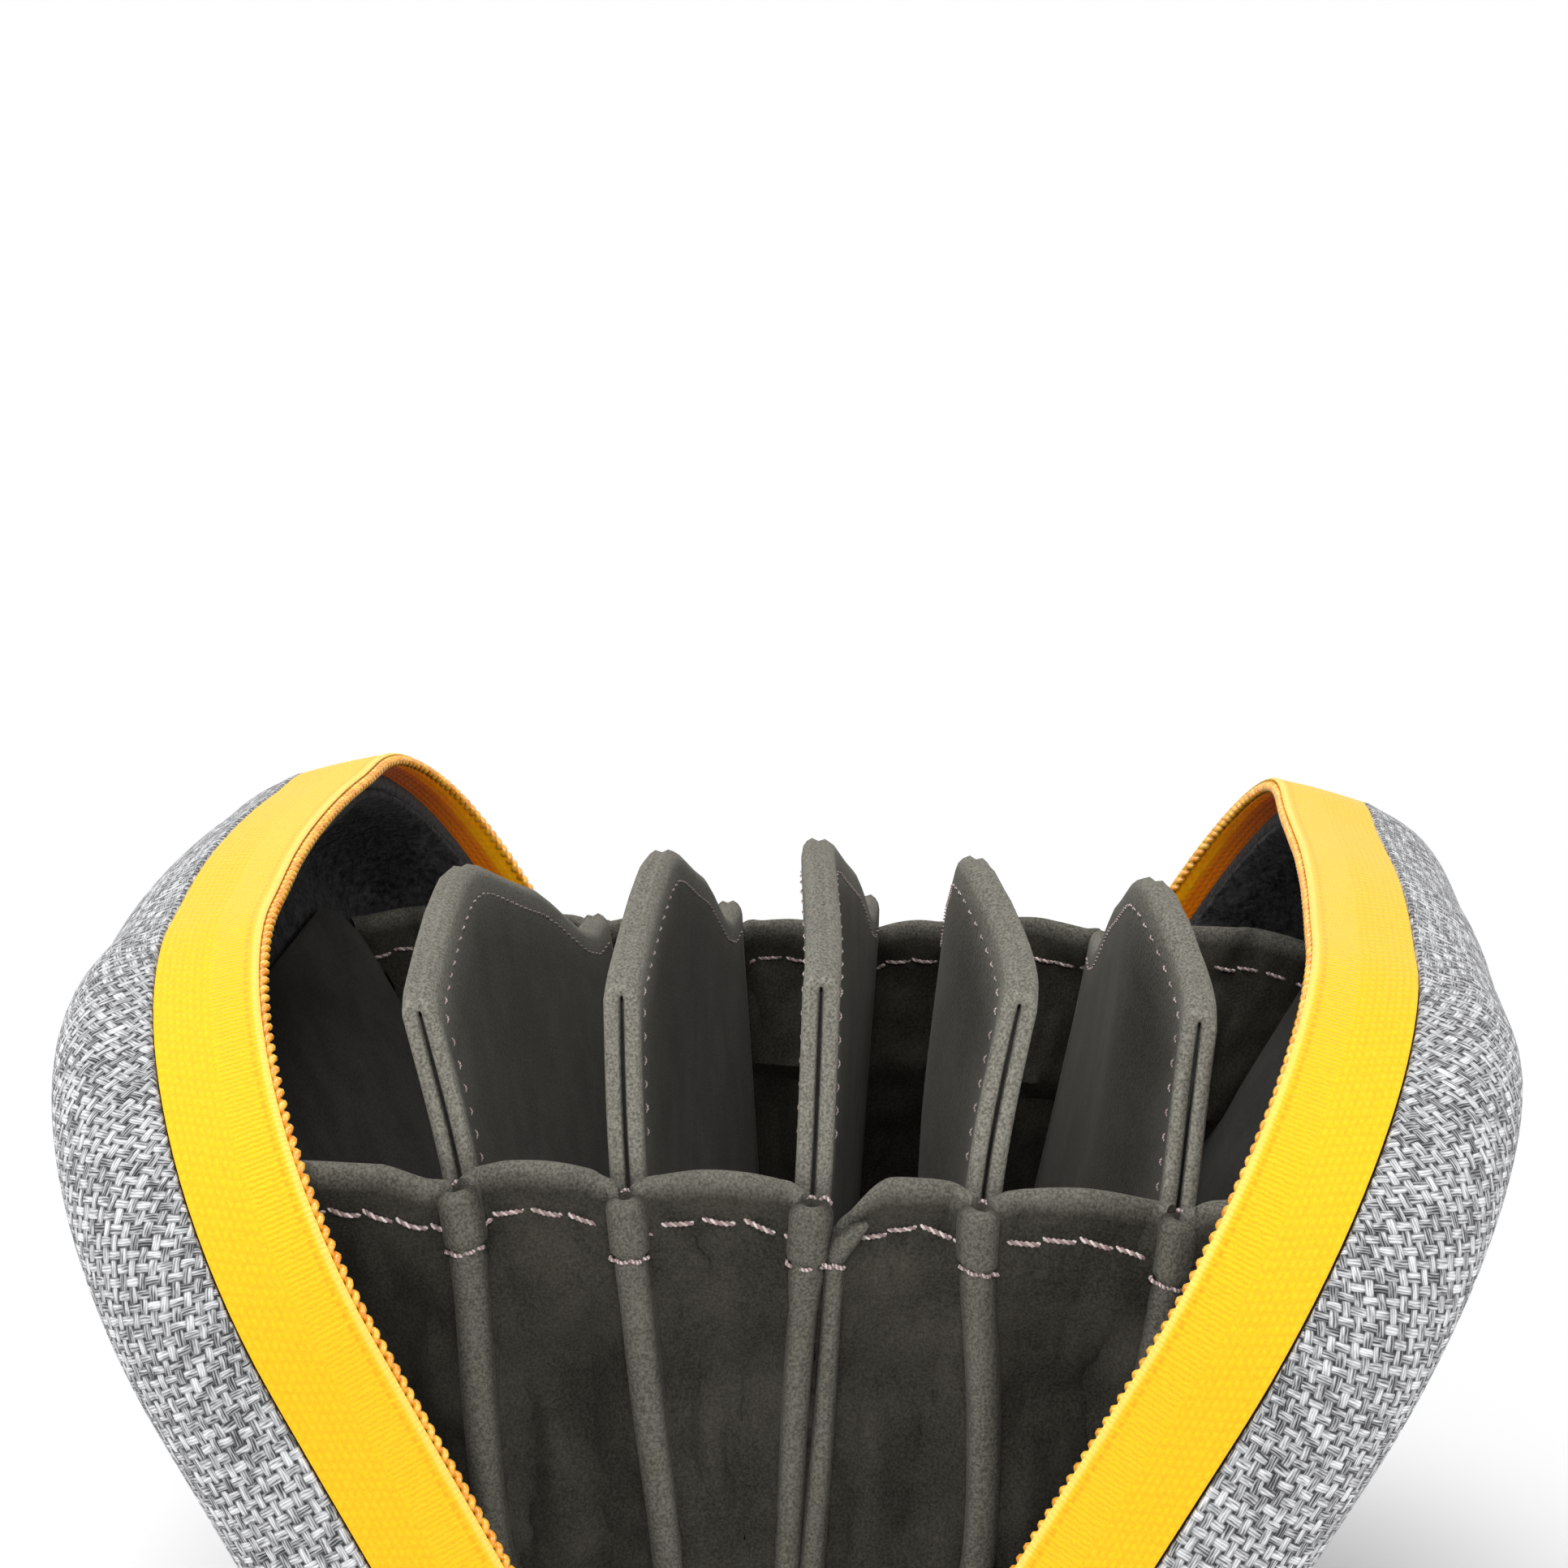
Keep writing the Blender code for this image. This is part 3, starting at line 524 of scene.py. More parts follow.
# %% Material of the tape
def tape_material():
    material, graph, shader = new_material(
        "Yellow zip tape", Roughness=0.6, Sheen_Weight=0.25, Sheen_Roughness=0.4, Specular_IOR_Level=0.2
    )
    shader.inputs["Subsurface Radius"].default_value = (3 * MM, 1.6 * MM, 0.05 * MM)
    shader.inputs["Subsurface Scale"].default_value = 1.0
    chart = graph.add("ShaderNodeUVMap", uv_map="Surface").outputs[0]
    woven = graph.add("ShaderNodeGroup", {"Map": chart}, node_tree=tape_weave)
    across = graph.add("ShaderNodeSeparateXYZ", {0: chart}).outputs["Y"]
    colour = graph.blend(graph.between(woven.outputs["Tone"], 0.2, 0.66), ORANGE, YELLOW)
    colour = graph.blend(graph.between(across, 0.2, 0.7, 0.8, 0.0), colour, PALE_YELLOW)
    # Painted light and shade on the tape's inner face: deeper orange inside the mouth for the shade there,
    # lighter towards the rim where light reaches it.
    rim_zone = (INNER_PLACE + 1.8, INNER_PLACE + 2.8)
    inside = graph.blend(graph.between(across, *rim_zone), LIT_INNER_RIM, SHADED_INNER_ORANGE)
    inner = graph.between(across, INNER_PLACE - 2, INNER_PLACE - 1)
    colour = graph.blend(inner, colour, inside)
    rim = graph.between(across, *rim_zone, 1.0, 0.0)
    glow = graph.sum("MULTIPLY_ADD", graph.sum("MULTIPLY", inner, rim), 0.7, 0.25)
    graph.feed(shader.inputs["Subsurface Weight"], glow)
    dress(graph, shader, colour, woven.outputs["Height"], 0.7, 0.13 * MM)
    return material


zip_yellow = tape_material()
print("tape material:", zip_yellow.name)


# %% Material of the coil
COIL_DEEP = (0.83, 0.27, 0.004, 1)
COIL_LIGHT = (1.0, 0.5, 0.04, 1)


def coil_material():
    """Slightly glassy nylon, with a painted sheen that turns it paler where it is seen edge on."""
    material, graph, shader = new_material(
        "Orange zip coil", Roughness=0.25, Specular_IOR_Level=0.6, Coat_Weight=0.4, Coat_Roughness=0.2
    )
    place = graph.add("ShaderNodeTexCoord").outputs["Object"]
    cloud = graph.add("ShaderNodeTexNoise", {"Vector": place, "Scale": 900.0, "Detail": 2.0}).outputs[0]
    colour = graph.blend(graph.between(cloud, 0.35, 0.65), COIL_DEEP, COIL_LIGHT)
    # Painted sheen: the colour turns pale yellow where the coil is seen edge on.
    rim = graph.add("ShaderNodeLayerWeight", {"Blend": 0.3}).outputs["Facing"]
    graph.feed(shader.inputs["Base Color"], graph.blend(graph.between(rim, 0.3, 0.9), colour, PALE_YELLOW))
    return material


coil_orange = coil_material()
print("coil material:", coil_orange.name)


# %% Materials of webbing, foam, board, thread and metal
def grained_material(name, low, high, scale, roughness, depth, **shader_values):
    """A plain finish whose colour and surface vary with a grain of one size."""
    material, graph, shader = new_material(name, Roughness=roughness, **shader_values)
    place = graph.add("ShaderNodeTexCoord").outputs["Object"]
    grain = {"Vector": place, "Scale": scale, "Detail": 4.0, "Roughness": 0.6}
    noise = graph.add("ShaderNodeTexNoise", grain).outputs[0]
    colour = graph.blend(graph.between(noise, 0.3, 0.7), low, high)
    dress(graph, shader, colour, noise, 0.7, depth)
    return material


FOAM = ((0.01, 0.01, 0.01, 1), (0.05, 0.05, 0.05, 1))
BOARD = ((0.004, 0.004, 0.004, 1), (0.02, 0.02, 0.02, 1))
WEBBING = ((0.006, 0.006, 0.006, 1), (0.045, 0.045, 0.047, 1))
ZINC = ((0.05, 0.05, 0.053, 1), (0.16, 0.16, 0.165, 1))
foam = grained_material("Black foam", *FOAM, 1800.0, 0.9, 0.3 * MM)
board = grained_material("Stiffening board", *BOARD, 700.0, 0.9, 0.05 * MM)
webbing = grained_material("Black webbing", *WEBBING, 2600.0, 0.85, 0.25 * MM)


def thread_material():
    """Two-ply thread. The trees that sew it store a Strand attribute, 0 on one ply and 1 on the other."""
    material, graph, shader = new_material("Twisted thread", Roughness=0.6, Sheen_Weight=0.2)
    strand = graph.add("ShaderNodeAttribute", attribute_name="Strand").outputs["Fac"]
    place = graph.add("ShaderNodeTexCoord").outputs["Object"]
    dirt = graph.add("ShaderNodeTexNoise", {"Vector": place, "Scale": 700.0, "Detail": 2.0}).outputs[0]
    light = graph.blend(graph.between(dirt, 0.4, 0.6), (0.72, 0.62, 0.58, 1), (0.45, 0.36, 0.33, 1))
    # Painted shade: the ply with Strand 1 is painted darker, standing for the shade in the twist.
    graph.feed(shader.inputs["Base Color"], graph.blend(strand, light, (0.24, 0.16, 0.16, 1)))
    return material


thread = thread_material()
dark_metal = grained_material("Dark zinc", *ZINC, 900.0, 0.38, 0.02 * MM, Metallic=1.0)
print("materials:", len(bpy.data.materials))

# %% [markdown]
# ## The mouth's outline
#
# The mouth of each half is a rectangle with large round corners. Cover, core, lining, tape and coil
# all follow it, nearer or further out. So the outline is kept as centres and directions: a point of
# it is its centre plus the corner radius along its direction, and any layer is the same with a
# little more or less radius. The soft halves have eased out of that outline: the top is a little
# arched and the front corners are rounder, on the left half more than on the right. The corners
# are rounder at the mouth alone: deeper in, the moulded back still holds its shape.


# %% Centres and directions round the mouth
def stretch(start, stop, steps):
    """Shares from start to stop, without the last."""
    return np.linspace(start, stop, steps, endpoint=False)


def mouth(corner_steps=22, side_steps=12):
    """Centres and outward directions, anticlockwise from low at the back, as arrays of (y, z)."""
    a, low, high = CORNER_ACROSS, CORNER_RADIUS, CASE_HEIGHT - CORNER_RADIUS
    corners = [(a, low), (a, high), (-a, high), (-a, low)]
    centres, directions = [], []
    for k, corner in enumerate(corners):
        following = corners[(k + 1) % 4]
        for angle in stretch((k - 1) * pi / 2, k * pi / 2, corner_steps):
            centres.append(corner)
            directions.append((cos(angle), sin(angle)))
        for share in stretch(0, 1, side_steps):
            centres.append([c + (f - c) * share for c, f in zip(corner, following)])
            directions.append((round(cos(k * pi / 2)), round(sin(k * pi / 2))))
    return np.array(centres), np.array(directions, float)


MOUTH = mouth()
print("points round the mouth:", len(MOUTH[0]))


# %% A layer of a half
EASE_AT = np.array([-90, 0, 16, 25, 37, 50, 63, 75, 88, 103, 117, 126, 138, 151, 163, 180, 270])
EASE = {
    -1: (0, 0, 0, 0.4, 1.4, 1.3, 0.6, 1.2, 1.4, 0.9, -0.7, -1.6, -1.8, -1, -0.3, 0, 0),
    1: (0, 0, 0, 0.4, 1.3, 1.2, -0.2, 0, 0.4, 0, -1.2, -1.8, -1.6, -0.9, -0.3, 0, 0),
}


def easing(frames, side):
    """How far the half has eased out at each point, by the point's angle about the mouth's middle."""
    centres, directions = frames
    y, z = (centres + directions * CORNER_RADIUS).T
    angle = np.degrees(np.arctan2(z - CASE_HEIGHT / 2, y))
    return smooth_through(np.where(angle < -90, angle + 360, angle), EASE_AT, EASE[side]) * MM


HELD_FROM = 11 * MM
HELD_WITHIN = 7 * MM


def layer_points(frames, profile, side):
    """Loops of a half for (spread, depth) pairs along a profile, leaned over."""
    centres, directions = frames
    eased = easing(frames, side)
    loops = []
    for spread, depth in profile:
        held = smooth_steps((depth - HELD_FROM) / HELD_WITHIN)
        reach = CORNER_RADIUS + np.maximum(eased, 0) + np.minimum(eased, 0) * (1 - held)
        ring = centres + directions * (reach + spread)[:, None]
        upright = np.column_stack((np.full(len(ring), side * depth), ring))
        loops.append(lean_over(upright, side * HALF_LEAN))
    return np.array(loops)


print("the mouth has eased out by up to", round(easing(MOUTH, -1).max() / MM, 1), "mm")


# %% [markdown]
# ## Covers
#
# The cover is one piece of cloth pulled over the moulded back, so its threads run on from the flat
# back over the rounding and down the sides. Its map is therefore the back's own (y, z), carried on
# outwards by the length walked along the surface. The cloth's front edge is turned in a round hem
# where it meets the tape.

# %% Profile of the moulded back
COVER_THICKNESS = 1 * MM
CORE_THICKNESS = 2.2 * MM
LINING_THICKNESS = 0.9 * MM
COVER_SPREAD = 3 * MM
COVER_SIDE = 3.9 * MM
BACK_ROUNDING = 8 * MM
TAPE_REACH = 10.8 * MM
TAPE_FLARE = 2.8 * MM
TAPE_THICKNESS = 0.9 * MM


def back_profile(inset, steps=12):
    """The back's rounding for a layer set in from the cover's outer face, from side to flat."""
    side_depth = TAPE_REACH + GAP + COVER_SIDE
    sideways = BACK_ROUNDING - inset
    deep = SHELL_DEPTH - side_depth - inset
    turns = [pi / 2 * k / steps for k in range(steps + 1)]
    return [(COVER_SPREAD - BACK_ROUNDING + sideways * cos(t), side_depth + deep * sin(t)) for t in turns]


def tape_spread(depth):
    return TAPE_FLARE * depth / TAPE_REACH


print("the wall under the cover:", CORE_THICKNESS / MM, "mm of foam")


# %% Make the covers
def cover_loops():
    """Profile of the closed cloth wall, from the flat's outside over the hem to its inside."""
    hem_depth = TAPE_REACH + GAP
    half = COVER_THICKNESS / 2
    last = [(COVER_SPREAD, hem_depth + 2 * MM), (COVER_SPREAD, hem_depth + half)]
    outside = [*reversed(back_profile(0)), *last]
    turns = [k * pi / 5 for k in range(1, 5)]
    hem = [(COVER_SPREAD - half + half * cos(t), hem_depth + half - half * sin(t)) for t in turns]
    inside = [(COVER_SPREAD - COVER_THICKNESS, hem_depth + half), *back_profile(COVER_THICKNESS)]
    return outside + hem + inside


def cloth_map(frames, profile):
    """Where each point of the cover lies on its cloth, in millimetres."""
    centres, directions = frames
    steps = np.hypot(*np.diff(np.array(profile), axis=0).T)
    walked = np.concatenate(([0], np.cumsum(steps)))
    reach = CORNER_RADIUS + COVER_SPREAD - BACK_ROUNDING
    return np.array([(centres + directions * (reach + run)) / MM for run in walked])


def add_cover(prefix, side):
    profile = cover_loops()
    loops = layer_points(MOUTH, profile, side)
    piece = add_loft(prefix + "_cover_cloth", loops, woven_grey, cloth_map(MOUTH, profile))
    return settle(piece, prefix + "_half", "grey_weave", prefix + "_cover")


def declare_stretched(profile):
    """Size in mm of the flat sheet that a bowl of cloth is cut from and stretched over the back."""
    run = float(np.hypot(*np.diff(np.array(profile), axis=0).T).sum()) / 2
    reach = 2 * (COVER_SPREAD - BACK_ROUNDING + run)
    return round((CASE_WIDTH + reach) / MM), round((CASE_HEIGHT + reach) / MM)


for prefix, side in SIDES:
    cover = add_cover(prefix, side)
    print(cover.name, "is cut", declare_stretched(cover_loops()), "mm")

# %% [markdown]
# ## Foam core and fleece lining
#
# Under the cover is a bowl of moulded foam, and in it a lining of black fleece. From the open side
# only the fleece shows: it is wrapped forwards round the foam's edge and tucked in behind the tape.

# %% Make the cores and linings
CORE_SETBACK = 5.6 * MM
CORE_INSET = COVER_THICKNESS + GAP
LINING_INSET = CORE_INSET + CORE_THICKNESS + GAP


def inner_profile(inset, start):
    """Outer face of the core or lining: under the tape first, then under the cover."""
    under = inset - COVER_THICKNESS + TAPE_THICKNESS
    return [(tape_spread(start) - under, start), (TAPE_FLARE - under, TAPE_REACH), *back_profile(inset)]


def wall_loops(inset, start, thickness):
    """Profile of a closed wall, from the flat's outside round the rim to its inside."""
    outside = inner_profile(inset, start)
    inside = inner_profile(inset + thickness, start)
    (a, depth), (b, _) = outside[0], inside[0]
    half = (a - b) / 2
    rim = [((a + b) / 2 + half * cos(t), depth - 0.6 * half * sin(t)) for t in (pi / 4, pi / 2, 3 * pi / 4)]
    return [*reversed(outside), *rim, *inside]


def add_wall(name, prefix, side, profile, material, slot, node):
    piece = add_loft(name, layer_points(MOUTH, profile, side), material)
    return settle(piece, prefix + "_half", slot, node)


for prefix, side in SIDES:
    core = wall_loops(CORE_INSET, CORE_SETBACK, CORE_THICKNESS)
    pad = add_wall(prefix + "_foam", prefix, side, core, foam, "foam", prefix + "_core")
    lining = wall_loops(LINING_INSET, CORE_SETBACK, LINING_THICKNESS)
    nap_cloth = add_wall(prefix + "_fleece", prefix, side, lining, fleece, "fleece", prefix + "_lining")
    print(nap_cloth.name, "is cut", declare_stretched(lining), "mm")

# %% [markdown]
# ## Zip tape
#
# The tape is a band swept round the mouth from one side of the hinge to the other. Its section has
# a bound bead at the coil, a slight crown and rounded edges. The band's map runs along it in X and
# across in Y, so that the ribs and rows of its weave follow every corner.

# %% Centres and directions along the zip
TAPE_CROWN = 0.2 * MM


def zip_frames(end_y):
    """The mouth's frames from one end of the zip to the other, without the hinge."""
    centres, directions = MOUTH
    low = np.array([[end_y, CORNER_RADIUS]])
    down = np.array([[0.0, -1.0]])
    count = len(centres) - 12
    last = np.array([[-CORNER_ACROSS, CORNER_RADIUS]])
    c = np.concatenate((low, centres[:count], last, low * (-1, 1)))
    d = np.concatenate((down, directions[:count], down, down))
    return c, d


ZIP = zip_frames(HINGE_WIDTH / 2 + GAP)


def run_length(frames, spread=0.0):
    """Length walked along an outline at each of its points."""
    centres, directions = frames
    line = centres + directions * (CORNER_RADIUS + spread)
    return np.concatenate(([0], np.cumsum(np.hypot(*np.diff(line, axis=0).T))))


print("zip:", round(run_length(ZIP)[-1] / MM, 1), "mm long")


# %% Section of the tape
TAPE_START = 0.85 * MM
EDGE_WALL = 0.32 * MM


def tape_section(start, bead, edge_wall):
    """Closed section as (spread, depth, place across in mm), outer face first."""
    outer, inner = [], []
    for k in range(21):
        share = k / 20
        depth = start + (TAPE_REACH - start) * share**1.15
        crown = TAPE_CROWN * sin(pi * share)
        swell = bead * max(0.0, 1 - ((depth - start - 0.4 * MM) / (0.4 * MM)) ** 2)
        wall = min(TAPE_THICKNESS, edge_wall + 0.5 * max(0.0, depth - start - 0.6 * MM))
        top = tape_spread(depth) + crown + swell
        outer.append((top, depth, (depth - start) / MM))
        inner.append((top - swell - wall, depth, INNER_PLACE + (depth - start) / MM))
    last, first = outer[-1], outer[0]
    far = (last[0] - TAPE_THICKNESS / 2, last[1] + 0.12 * MM, last[2] + 0.3)
    near = (first[0] - edge_wall / 2, first[1] - 0.12 * MM, -0.3)
    return [*outer, far, *reversed(inner), near]


def add_band(name, frames, section, side, material):
    """A band with a closed section, swept along a stretch of the mouth."""
    run = run_length(frames) / MM
    loops = layer_points(frames, [(s, d) for s, d, _ in section], side).transpose(1, 0, 2)
    chart = [[(along, across) for _, _, across in section] for along in run]
    return add_loft(name, loops, material, chart)


zip_section = tape_section(TAPE_START, 0.12 * MM, EDGE_WALL)
print("points round the tape's section:", len(zip_section))


# %% Make the tapes and hinge flaps
FOLD_RADIUS = 1 * MM
FLAP_STEPS = 27
FLAP = (
    np.column_stack(
        (
            np.linspace(-HINGE_WIDTH / 2, HINGE_WIDTH / 2, FLAP_STEPS),
            np.full(FLAP_STEPS, CORNER_RADIUS),
        )
    ),
    np.tile([0.0, -1.0], (FLAP_STEPS, 1)),
)
for prefix, side in SIDES:
    tape = add_band(prefix + "_tape", ZIP, zip_section, side, zip_yellow)
    settle(tape, prefix + "_half", "zip_yellow", prefix + "_zip_tape")
    section = tape_section(FOLD_RADIUS + GAP, 0, TAPE_THICKNESS)
    flap = add_band(prefix + "_flap", FLAP, section, side, webbing)
    settle(flap, prefix + "_half", "black_fabric", prefix + "_hinge_flap")
print("tape:", round((TAPE_REACH - TAPE_START) / MM, 2), "mm wide")

# %% [markdown]
# ## Zip coil
#
# Half of a coil zip is one nylon thread wound in hundreds of even turns along the tape's edge. That
# follows a rule, so Geometry Nodes wind it: a line round the mouth is cut into short steps, each
# step is moved out round the line by its share of a turn, and a round section is swept along. The
# pitch, the winding's radius and the thread's radius are inputs of the tree.

# %% Make a Geometry Nodes tree
TREE_SOCKETS = {"number": "NodeSocketFloat", "whole": "NodeSocketInt", "material": "NodeSocketMaterial"}


def new_tree(name, inputs):
    """A Geometry Nodes tree with a geometry in and out, and named inputs after it."""
    tree = bpy.data.node_groups.new(name, "GeometryNodeTree")
    tree.interface.new_socket("Geometry", in_out="INPUT", socket_type="NodeSocketGeometry")
    for label, kind in inputs:
        tree.interface.new_socket(label, in_out="INPUT", socket_type=TREE_SOCKETS[kind])
    tree.interface.new_socket("Geometry", in_out="OUTPUT", socket_type="NodeSocketGeometry")
    graph = Graph(tree)
    return graph, graph.add("NodeGroupInput").outputs, graph.add("NodeGroupOutput").inputs


def facing_field(graph):
    """The direction away from the surface that a guide line stores at each of its points."""
    node = graph.add("GeometryNodeInputNamedAttribute", {"Name": "facing"}, data_type="FLOAT_VECTOR")
    return node.outputs[0]


def scaled(graph, vector, factor):
    return graph.add("ShaderNodeVectorMath", {0: vector, "Scale": factor}, operation="SCALE").outputs[0]


def finish_tree(graph, given, put_out, geometry):
    """Ends a tree: smooth shading, real geometry, and the finish that it was given."""
    smooth = graph.add("GeometryNodeSetShadeSmooth", {"Geometry": geometry})
    real = graph.add("GeometryNodeRealizeInstances", {"Geometry": smooth.outputs[0]})
    done = graph.add("GeometryNodeSetMaterial", {"Geometry": real.outputs[0], "Material": given["Finish"]})
    graph.feed(put_out["Geometry"], done.outputs[0])


print("kinds of tree input:", *TREE_SOCKETS)


# %% Node tree that winds a coil
def coil_tree():
    graph, given, put_out = new_tree(
        "Wind a coil along a line",
        [
            ("Pitch", "number"),
            ("Winding radius", "number"),
            ("Thread radius", "number"),
            ("Steps a turn", "number"),
            ("Sides", "whole"),
            ("Finish", "material"),
        ],
    )
    line = graph.add("GeometryNodeMeshToCurve", {"Mesh": given["Geometry"]})
    step = graph.sum("DIVIDE", given["Pitch"], given["Steps a turn"])
    fine = graph.add("GeometryNodeResampleCurve", {"Curve": line.outputs[0], "Length": step}, mode="LENGTH")
    run = graph.add("GeometryNodeSplineParameter").outputs["Length"]
    turn = graph.sum("MULTIPLY", graph.sum("DIVIDE", run, given["Pitch"]), TURN)
    tangent = graph.add("GeometryNodeInputTangent").outputs[0]
    facing = facing_field(graph)
    aside = graph.add("ShaderNodeVectorMath", {0: tangent, 1: facing}, operation="CROSS_PRODUCT").outputs[0]
    out = scaled(graph, facing, graph.sum("MULTIPLY", graph.sum("COSINE", turn), given["Winding radius"]))
    over = scaled(graph, aside, graph.sum("MULTIPLY", graph.sum("SINE", turn), given["Winding radius"]))
    moved = graph.add("ShaderNodeVectorMath", {0: out, 1: over}, operation="ADD").outputs[0]
    wound = graph.add("GeometryNodeSetPosition", {"Geometry": fine.outputs[0], "Offset": moved})
    section = graph.add(
        "GeometryNodeCurvePrimitiveCircle", {"Resolution": given["Sides"], "Radius": given["Thread radius"]}
    )
    tube = graph.add(
        "GeometryNodeCurveToMesh",
        {"Curve": wound.outputs[0], "Profile Curve": section.outputs[0], "Fill Caps": True},
    )
    finish_tree(graph, given, put_out, tube.outputs[0])
    return graph.tree


coil_winder = coil_tree()
print("coil tree:", len(coil_winder.nodes), "nodes")


# %% Run a tree along guide lines
def guide_object(name, lines):
    """Chains of points with a facing direction at each. lines holds (points, facings) pairs."""
    mesh = bpy.data.meshes.new(name)
    points, edges, facings = [], [], []
    for line, facing in lines:
        first = len(points)
        points += [tuple(p) for p in line]
        facings += [tuple(f) for f in facing]
        edges += [(first + k, first + k + 1) for k in range(len(line) - 1)]
    mesh.from_pydata(points, edges, [])
    attribute = mesh.attributes.new("facing", "FLOAT_VECTOR", "POINT")
    attribute.data.foreach_set("vector", np.array(facings, np.float32).ravel())
    return link_object(name, mesh)


def guide_line(near, far):
    """A guide line at the near points, facing the far ones, a millimetre away."""
    return near, (far - near) / MM


def run_tree(name, lines, tree, values):
    """Runs a tree on guide lines and leaves a plain mesh piece."""
    guide = guide_object(name + "_guide", lines)
    modifier = guide.modifiers.new("Tree", "NODES")
    modifier.node_group = tree
    for item in tree.interface.items_tree:
        if item.item_type == "SOCKET" and item.in_out == "INPUT" and item.name in values:
            modifier[item.identifier] = values[item.name]
    graph = bpy.context.evaluated_depsgraph_get()
    mesh = bpy.data.meshes.new_from_object(guide.evaluated_get(graph))
    mesh.name = name
    piece = link_object(name, mesh)
    bpy.data.objects.remove(guide)
    return piece


# %% Wind the two coils
SLIDER_ANGLE = radians(10.4)
SLIDER_LENGTH = 9 * MM
COIL_DEPTH = {-1: 0.79 * MM, 1: 1.15 * MM}
COIL_SPREAD = -0.74 * MM
COIL_SIZES = {
    "Pitch": 1.3 * MM,
    "Winding radius": 0.24 * MM,
    "Thread radius": 0.4 * MM,
    "Steps a turn": 9.0,
    "Sides": 7,
}


def coil_frames():
    """Frames of the coil's line, which starts past the parked sliders."""
    centres, directions = ZIP
    end = SLIDER_ANGLE + (SLIDER_LENGTH / 2 + 2 * GAP) / CORNER_RADIUS
    free = directions[:, 1] > -cos(end)
    return centres[free], directions[free]


for prefix, side in SIDES:
    depth = COIL_DEPTH[side]
    section = [(COIL_SPREAD, depth), (COIL_SPREAD + MM, depth)]
    line = guide_line(*layer_points(coil_frames(), section, side))
    values = {**COIL_SIZES, "Finish": coil_orange}
    coil = run_tree(prefix + "_coil", [line], coil_winder, values)
    settle(coil, prefix + "_half", "coil_orange", prefix + "_zip_coil")
    print(coil.name, len(coil.data.polygons), "faces")

# %% [markdown]
# ## The leaves and how they stand
#
# Seven leaves make the pockets: the end panels of the two halves and five dividers between them. A
# divider isn't a rigid board: on the open case the dividers bow and curl, each in its own way. So a
# leaf has a sway, which moves a point across the leaf by an amount that depends on where it is. The
# sway is given along its front and its back edge and runs smoothly from one to the other. The
# front edges of the two dividers on the right are also drawn back at the top.

# %% Leaves
INSERT_WIDTH = 98 * MM
FLOOR_HEIGHT = 12 * MM
FOOT_RADIUS = 12 * MM
PANEL_THICKNESS = 1.3 * MM
PANEL_HEIGHT = 94 * MM
PANEL_TOP_RADIUS = 10 * MM
PANEL_FACE = SHELL_DEPTH - COVER_THICKNESS - CORE_THICKNESS - LINING_THICKNESS - 3 * GAP - PANEL_THICKNESS
LEAVES = {
    0: (-HALF_LEAN, -PANEL_FACE, None),
    1: (radians(-10.5), -16 * MM, 95 * MM),
    2: (radians(-3.9), -8 * MM, 97.2 * MM),
    3: (radians(2.9), 0, 99.5 * MM),
    4: (radians(9.9), 8 * MM, 97.6 * MM),
    5: (radians(15.1), 16 * MM, 93.3 * MM),
    6: (HALF_LEAN, PANEL_FACE, None),
}
BODIES = {1: "divider_1", 2: "divider_2", 3: "spine", 4: "divider_4", 5: "divider_5"}
ENDS = (("front", -1), ("back", 1))
SWAY_ALONG = np.array([12, 40, 55, 73, 100])
SWAY = {
    1: ((-1.5, -2.2, -1, 0.8, 0), (0, 0, 0, 0, 0.4)),
    2: ((1, 1.7, 0.7, 0, 1), (0, 0, 0, 0, 1.6)),
    3: ((0.3, 0.5, 0.6, 0.6, 0), (0, 0, 0, 0, -2.6)),
    4: ((3.5, 5.8, 3.3, -0.4, -0.8), (0, -1, -3, -5.5, -7)),
    5: ((2.5, 5, 4.8, 3, -1.2), (0, 0, -1, -2.5, -6.3)),
}
SWAY_TURN = 32 * MM
DRAWN_BACK = {4: 4 * MM, 5: 7 * MM}
DRAWN_ABOVE, DRAWN_RISE = 74 * MM, 22 * MM
DRAWN_BEYOND, DRAWN_ACROSS = 18 * MM, 31 * MM


def on_leaf(leaf, points):
    """Points given as (across the leaf, y, up the leaf), in the frame of the whole case."""
    lean, offset, _ = LEAVES[leaf]
    points = np.array(points, float)
    points[:, 0] += offset
    if leaf in SWAY:
        front, back = (smooth_through(points[:, 2] / MM, SWAY_ALONG, line) for line in SWAY[leaf])
        share = smooth_steps((points[:, 1] + INSERT_WIDTH / 2) / SWAY_TURN)
        points[:, 0] += (front + (back - front) * share) * MM
    if leaf in DRAWN_BACK:
        share = smooth_steps((points[:, 2] - DRAWN_ABOVE) / DRAWN_RISE)
        share *= smooth_steps((-points[:, 1] - DRAWN_BEYOND) / DRAWN_ACROSS)
        points[:, 1] += DRAWN_BACK[leaf] * share
    return lean_over(points, lean)


def up_to(leaf, level):
    """How far up a leaf it reaches a level over the hinge line."""
    lean, offset, _ = LEAVES[leaf]
    return (level + offset * sin(lean)) / cos(lean)


print("leaves:", len(LEAVES))

# %% [markdown]
# Closed, the leaves lie flat side by side, 8 mm apart. A bowed or bulging piece is soft and gets
# pressed flat when the case closes, keeping a share of its depth across. Here such a piece only
# gets a mesh of its own.

# %% Give a piece a mesh of its own
GUSSET_LEVEL = 73 * MM
LEAF_KEEP = {1: 0.6, 4: 0.5, 5: 0.3}


def flatten(piece):
    """The piece gets a mesh of its own."""
    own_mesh(piece)


